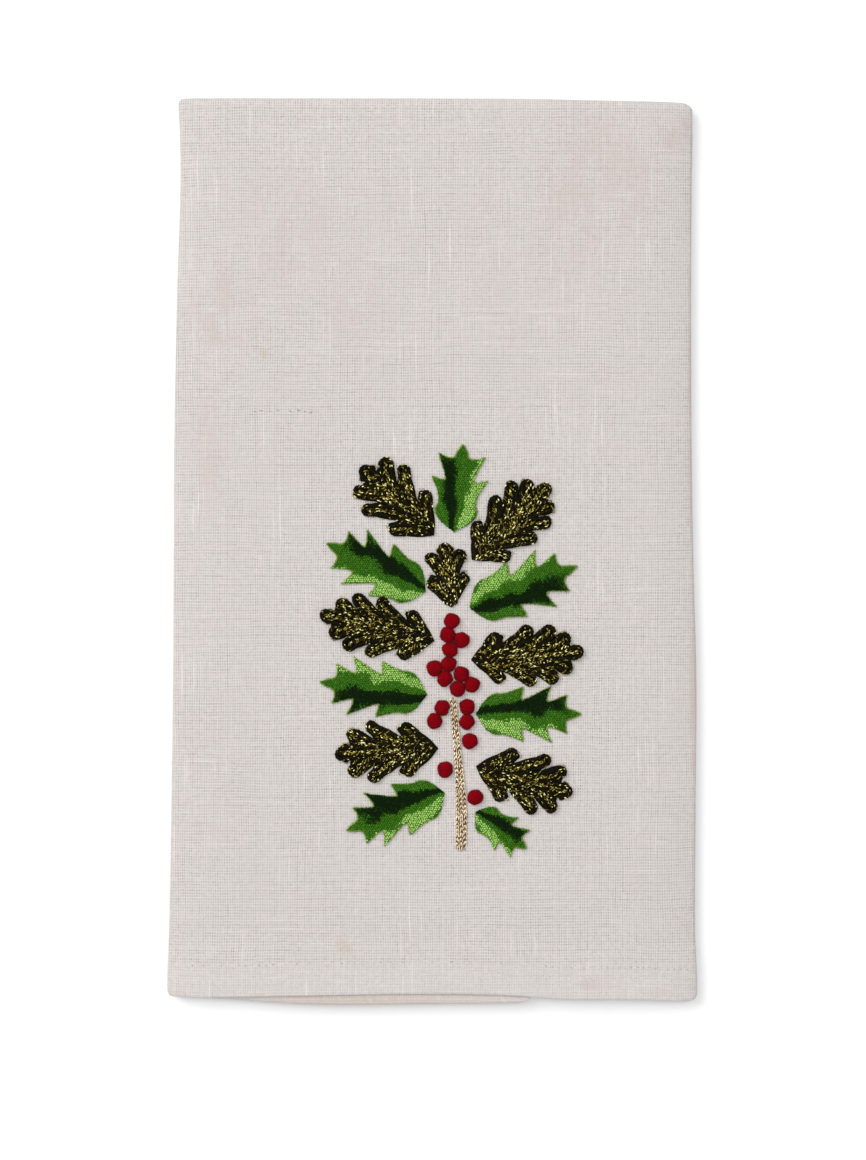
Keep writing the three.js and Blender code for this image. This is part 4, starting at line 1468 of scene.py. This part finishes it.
def shade(name, description, *screen):
    """Screen colour of 0 to 255, kept as 0 to 1."""
    value = tuple(c / 255 for c in screen)
    return FloatVectorProperty(
        name=name, description=description, default=value, size=3, min=0, max=1, subtype="COLOR_GAMMA"
    )


class TowelSizes(bpy.types.PropertyGroup):
    cut_width: size("Cut width", "Width of the flat cloth, hems turned", 0.508)
    cut_length: size("Cut length", "Length of the flat cloth, hems turned", 0.711)
    sheet_thickness: size("Cloth", "Thickness of one layer", 0.00075)
    hem_thickness: size("Hem", "Thickness of the turned hem", 0.00105)
    hem_depth: size("Hem depth", "From the end of the cloth to the hem's stitches", 0.0127)
    stitch_pitch: size("Stitch pitch", "From one hem stitch to the next", 0.00245)
    stitch_thread: size("Stitch thread", "Thickness of the hem's thread", 0.00038)


class SprigSizes(bpy.types.PropertyGroup):
    cord_width: size("Cord", "Width of one row of dark cord", 0.0019)
    ply_pitch: size("Ply pitch", "Length of one turn of the cord's plies", 0.0023)
    gold_thread: size("Gold thread", "Thickness of the gold wound round the cord", 0.00036)
    fleck_density: amount("Flecks", "Bright dashes for each metre of the brightest cord", 1450)
    pad_height: size("Chenille pad", "Height of the green leaves under their loops", 0.00115)
    loop_pitch: size("Loop pitch", "From one chenille loop to the next", 0.00088)
    pile_density: amount("Pile", "Standing fibres for each square millimetre", 2.8)
    rim_density: amount("Rim", "Fibres of the rim for each millimetre of the leaf", 36)
    berry_radius: size("Berry radius", "Radius of a berry with its pile", 0.00325)
    berry_height: size("Berry height", "Height of a berry with its pile", 0.0031)
    berry_tufts: amount("Berry tufts", "Tufts of pile on one berry", 900, 10)
    chain_pitch: size("Chain pitch", "Length of one chain stitch of the stem", 0.0019)


class TowelLooks(bpy.types.PropertyGroup):
    cloth_colour: shade("Cloth", "Light yarns", 209, 203, 200)
    cloth_shade: shade("Cloth shade", "Darker yarns", 193, 187, 184)
    slub_colour: shade("Slubs", "Thick soft places of the yarns", 221, 215, 212)
    # Painted shade that fills the pin gaps of the weave and the needle holes of the hem
    gap_shade_colour: shade("Gaps", "Pin gaps between the yarns", 82, 74, 72)
    # Faint pink of the cloth, and painted shade in the top right corner's crease and along the right fold
    # edge
    blush_and_shade_colour: shade("Blush", "Faint pink of the cloth", 188, 172, 169)
    # Soft tan spots, and painted warm shade on the left flap below the front hem
    stain_and_shade_colour: shade("Stain", "Soft tan spots", 180, 150, 112)
    fibre_colour: shade("Stray fibres", "Dark fibres caught in the weave", 70, 62, 62)
    warp_pitch: size("Warp pitch", "From one yarn to the next across the cloth", 0.00093)
    weft_pitch: size("Weft pitch", "From one yarn to the next along the cloth", 0.00112)


class SprigLooks(bpy.types.PropertyGroup):
    cord_black: shade("Cord shade", "Dark of the cord", 6, 6, 2)
    cord_olive: shade("Cord", "Olive of the cord", 22, 20, 6)
    cord_gold: shade("Cord gold", "Gold thread of the dark leaves", 132, 112, 16)
    # Painted highlight and painted glint colours of the gold thread
    cord_painted_highlight: shade("Cord bright", "Gold thread where it turns to the light", 212, 190, 66)
    cord_painted_glint: shade("Cord glint", "Bright dashes of the gold thread", 255, 251, 170)
    leaf_dark: shade("Leaf dark", "Dark chenille", 8, 31, 1)
    leaf_mid: shade("Leaf green", "Middle green chenille", 62, 120, 20)
    leaf_light: shade("Leaf light", "Light green chenille", 170, 214, 112)
    leaf_rim: shade("Leaf rim", "Yellow-green fuzz of the edge", 176, 204, 76)
    # Painted shade between the tufts, and the dark of darker tufts
    berry_dark_and_shade: shade("Berry shade", "Dark between the tufts", 88, 0, 8)
    berry_red: shade("Berry red", "Crimson pile", 156, 2, 18)
    # Painted highlight of the pile
    berry_painted_highlight: shade("Berry light", "Lit tips of the pile", 184, 12, 34)
    # Brown of the padding under the gold chain, a painted shade between the links
    stem_shade: shade("Stem ground", "Brown padding under the gold chain", 74, 50, 28)
    stem_dark: shade("Stem shade", "Dark of the gold chain", 112, 82, 48)
    stem_gold: shade("Stem gold", "Pale gold thread", 236, 212, 168)
    # Painted glint colour of the pale gold
    stem_painted_glint: shade("Stem glint", "Bright dashes of the pale gold", 255, 250, 232)


class TowelStage(bpy.types.PropertyGroup):
    floor_size: size("Floor", "Side of the floor", 6.0)
    floor_colour: shade("Floor colour", "Pale floor", 246, 246, 247)
    room_light: amount("Room light", "Light from all round", 0.55)
    key_light: amount("Key light", "Soft lamp from the upper left", 97, unit="POWER")
    top_light: amount("Top light", "Wide lamp from above", 58, unit="POWER")
    lens: amount("Lens", "Focal length in millimetres", 100, 1)
    frame_height: size("Frame height", "Height of the picture at the towel's face", 0.4582)
    frame_centre: FloatVectorProperty(
        name="Frame centre", description="Middle of the picture on the floor", default=(0.0002, -0.0115),
        size=2, unit="LENGTH",
    )


OPERATORS = (
    TOWEL_OT_cloth,
    TOWEL_OT_hem,
    TOWEL_OT_dark_leaves,
    TOWEL_OT_green_leaves,
    TOWEL_OT_berries,
    TOWEL_OT_stem,
    TOWEL_OT_stage,
)
GROUPS = dict(
    towel_sizes=TowelSizes,
    sprig_sizes=SprigSizes,
    towel_looks=TowelLooks,
    sprig_looks=SprigLooks,
    towel_stage=TowelStage,
)


class TOWEL_PT_sidebar(bpy.types.Panel):
    bl_idname = "TOWEL_PT_sidebar"
    bl_label = "Tea towel"
    bl_space_type = "VIEW_3D"
    bl_region_type = "UI"
    bl_category = "Tea towel"

    def draw(self, context):
        for operator in OPERATORS:
            self.layout.operator(operator.bl_idname)
        for name, group in GROUPS.items():
            column = self.layout.column()
            for field in group.__annotations__:
                column.prop(getattr(context.scene, name), field)


CLASSES = (*GROUPS.values(), *OPERATORS, TOWEL_PT_sidebar)


def register():
    for item in CLASSES:
        bpy.utils.register_class(item)
    for name, group in GROUPS.items():
        setattr(bpy.types.Scene, name, PointerProperty(type=group))


def unregister():
    for name in GROUPS:
        delattr(bpy.types.Scene, name)
    for item in reversed(CLASSES):
        bpy.utils.unregister_class(item)


def main():
    register()
    bpy.ops.tea_towel.cloth()
    bpy.ops.tea_towel.hem()
    bpy.ops.tea_towel.dark_leaves()
    bpy.ops.tea_towel.green_leaves()
    bpy.ops.tea_towel.berries()
    bpy.ops.tea_towel.stem()
    bpy.ops.tea_towel.stage()


if __name__ == "__main__":
    main()
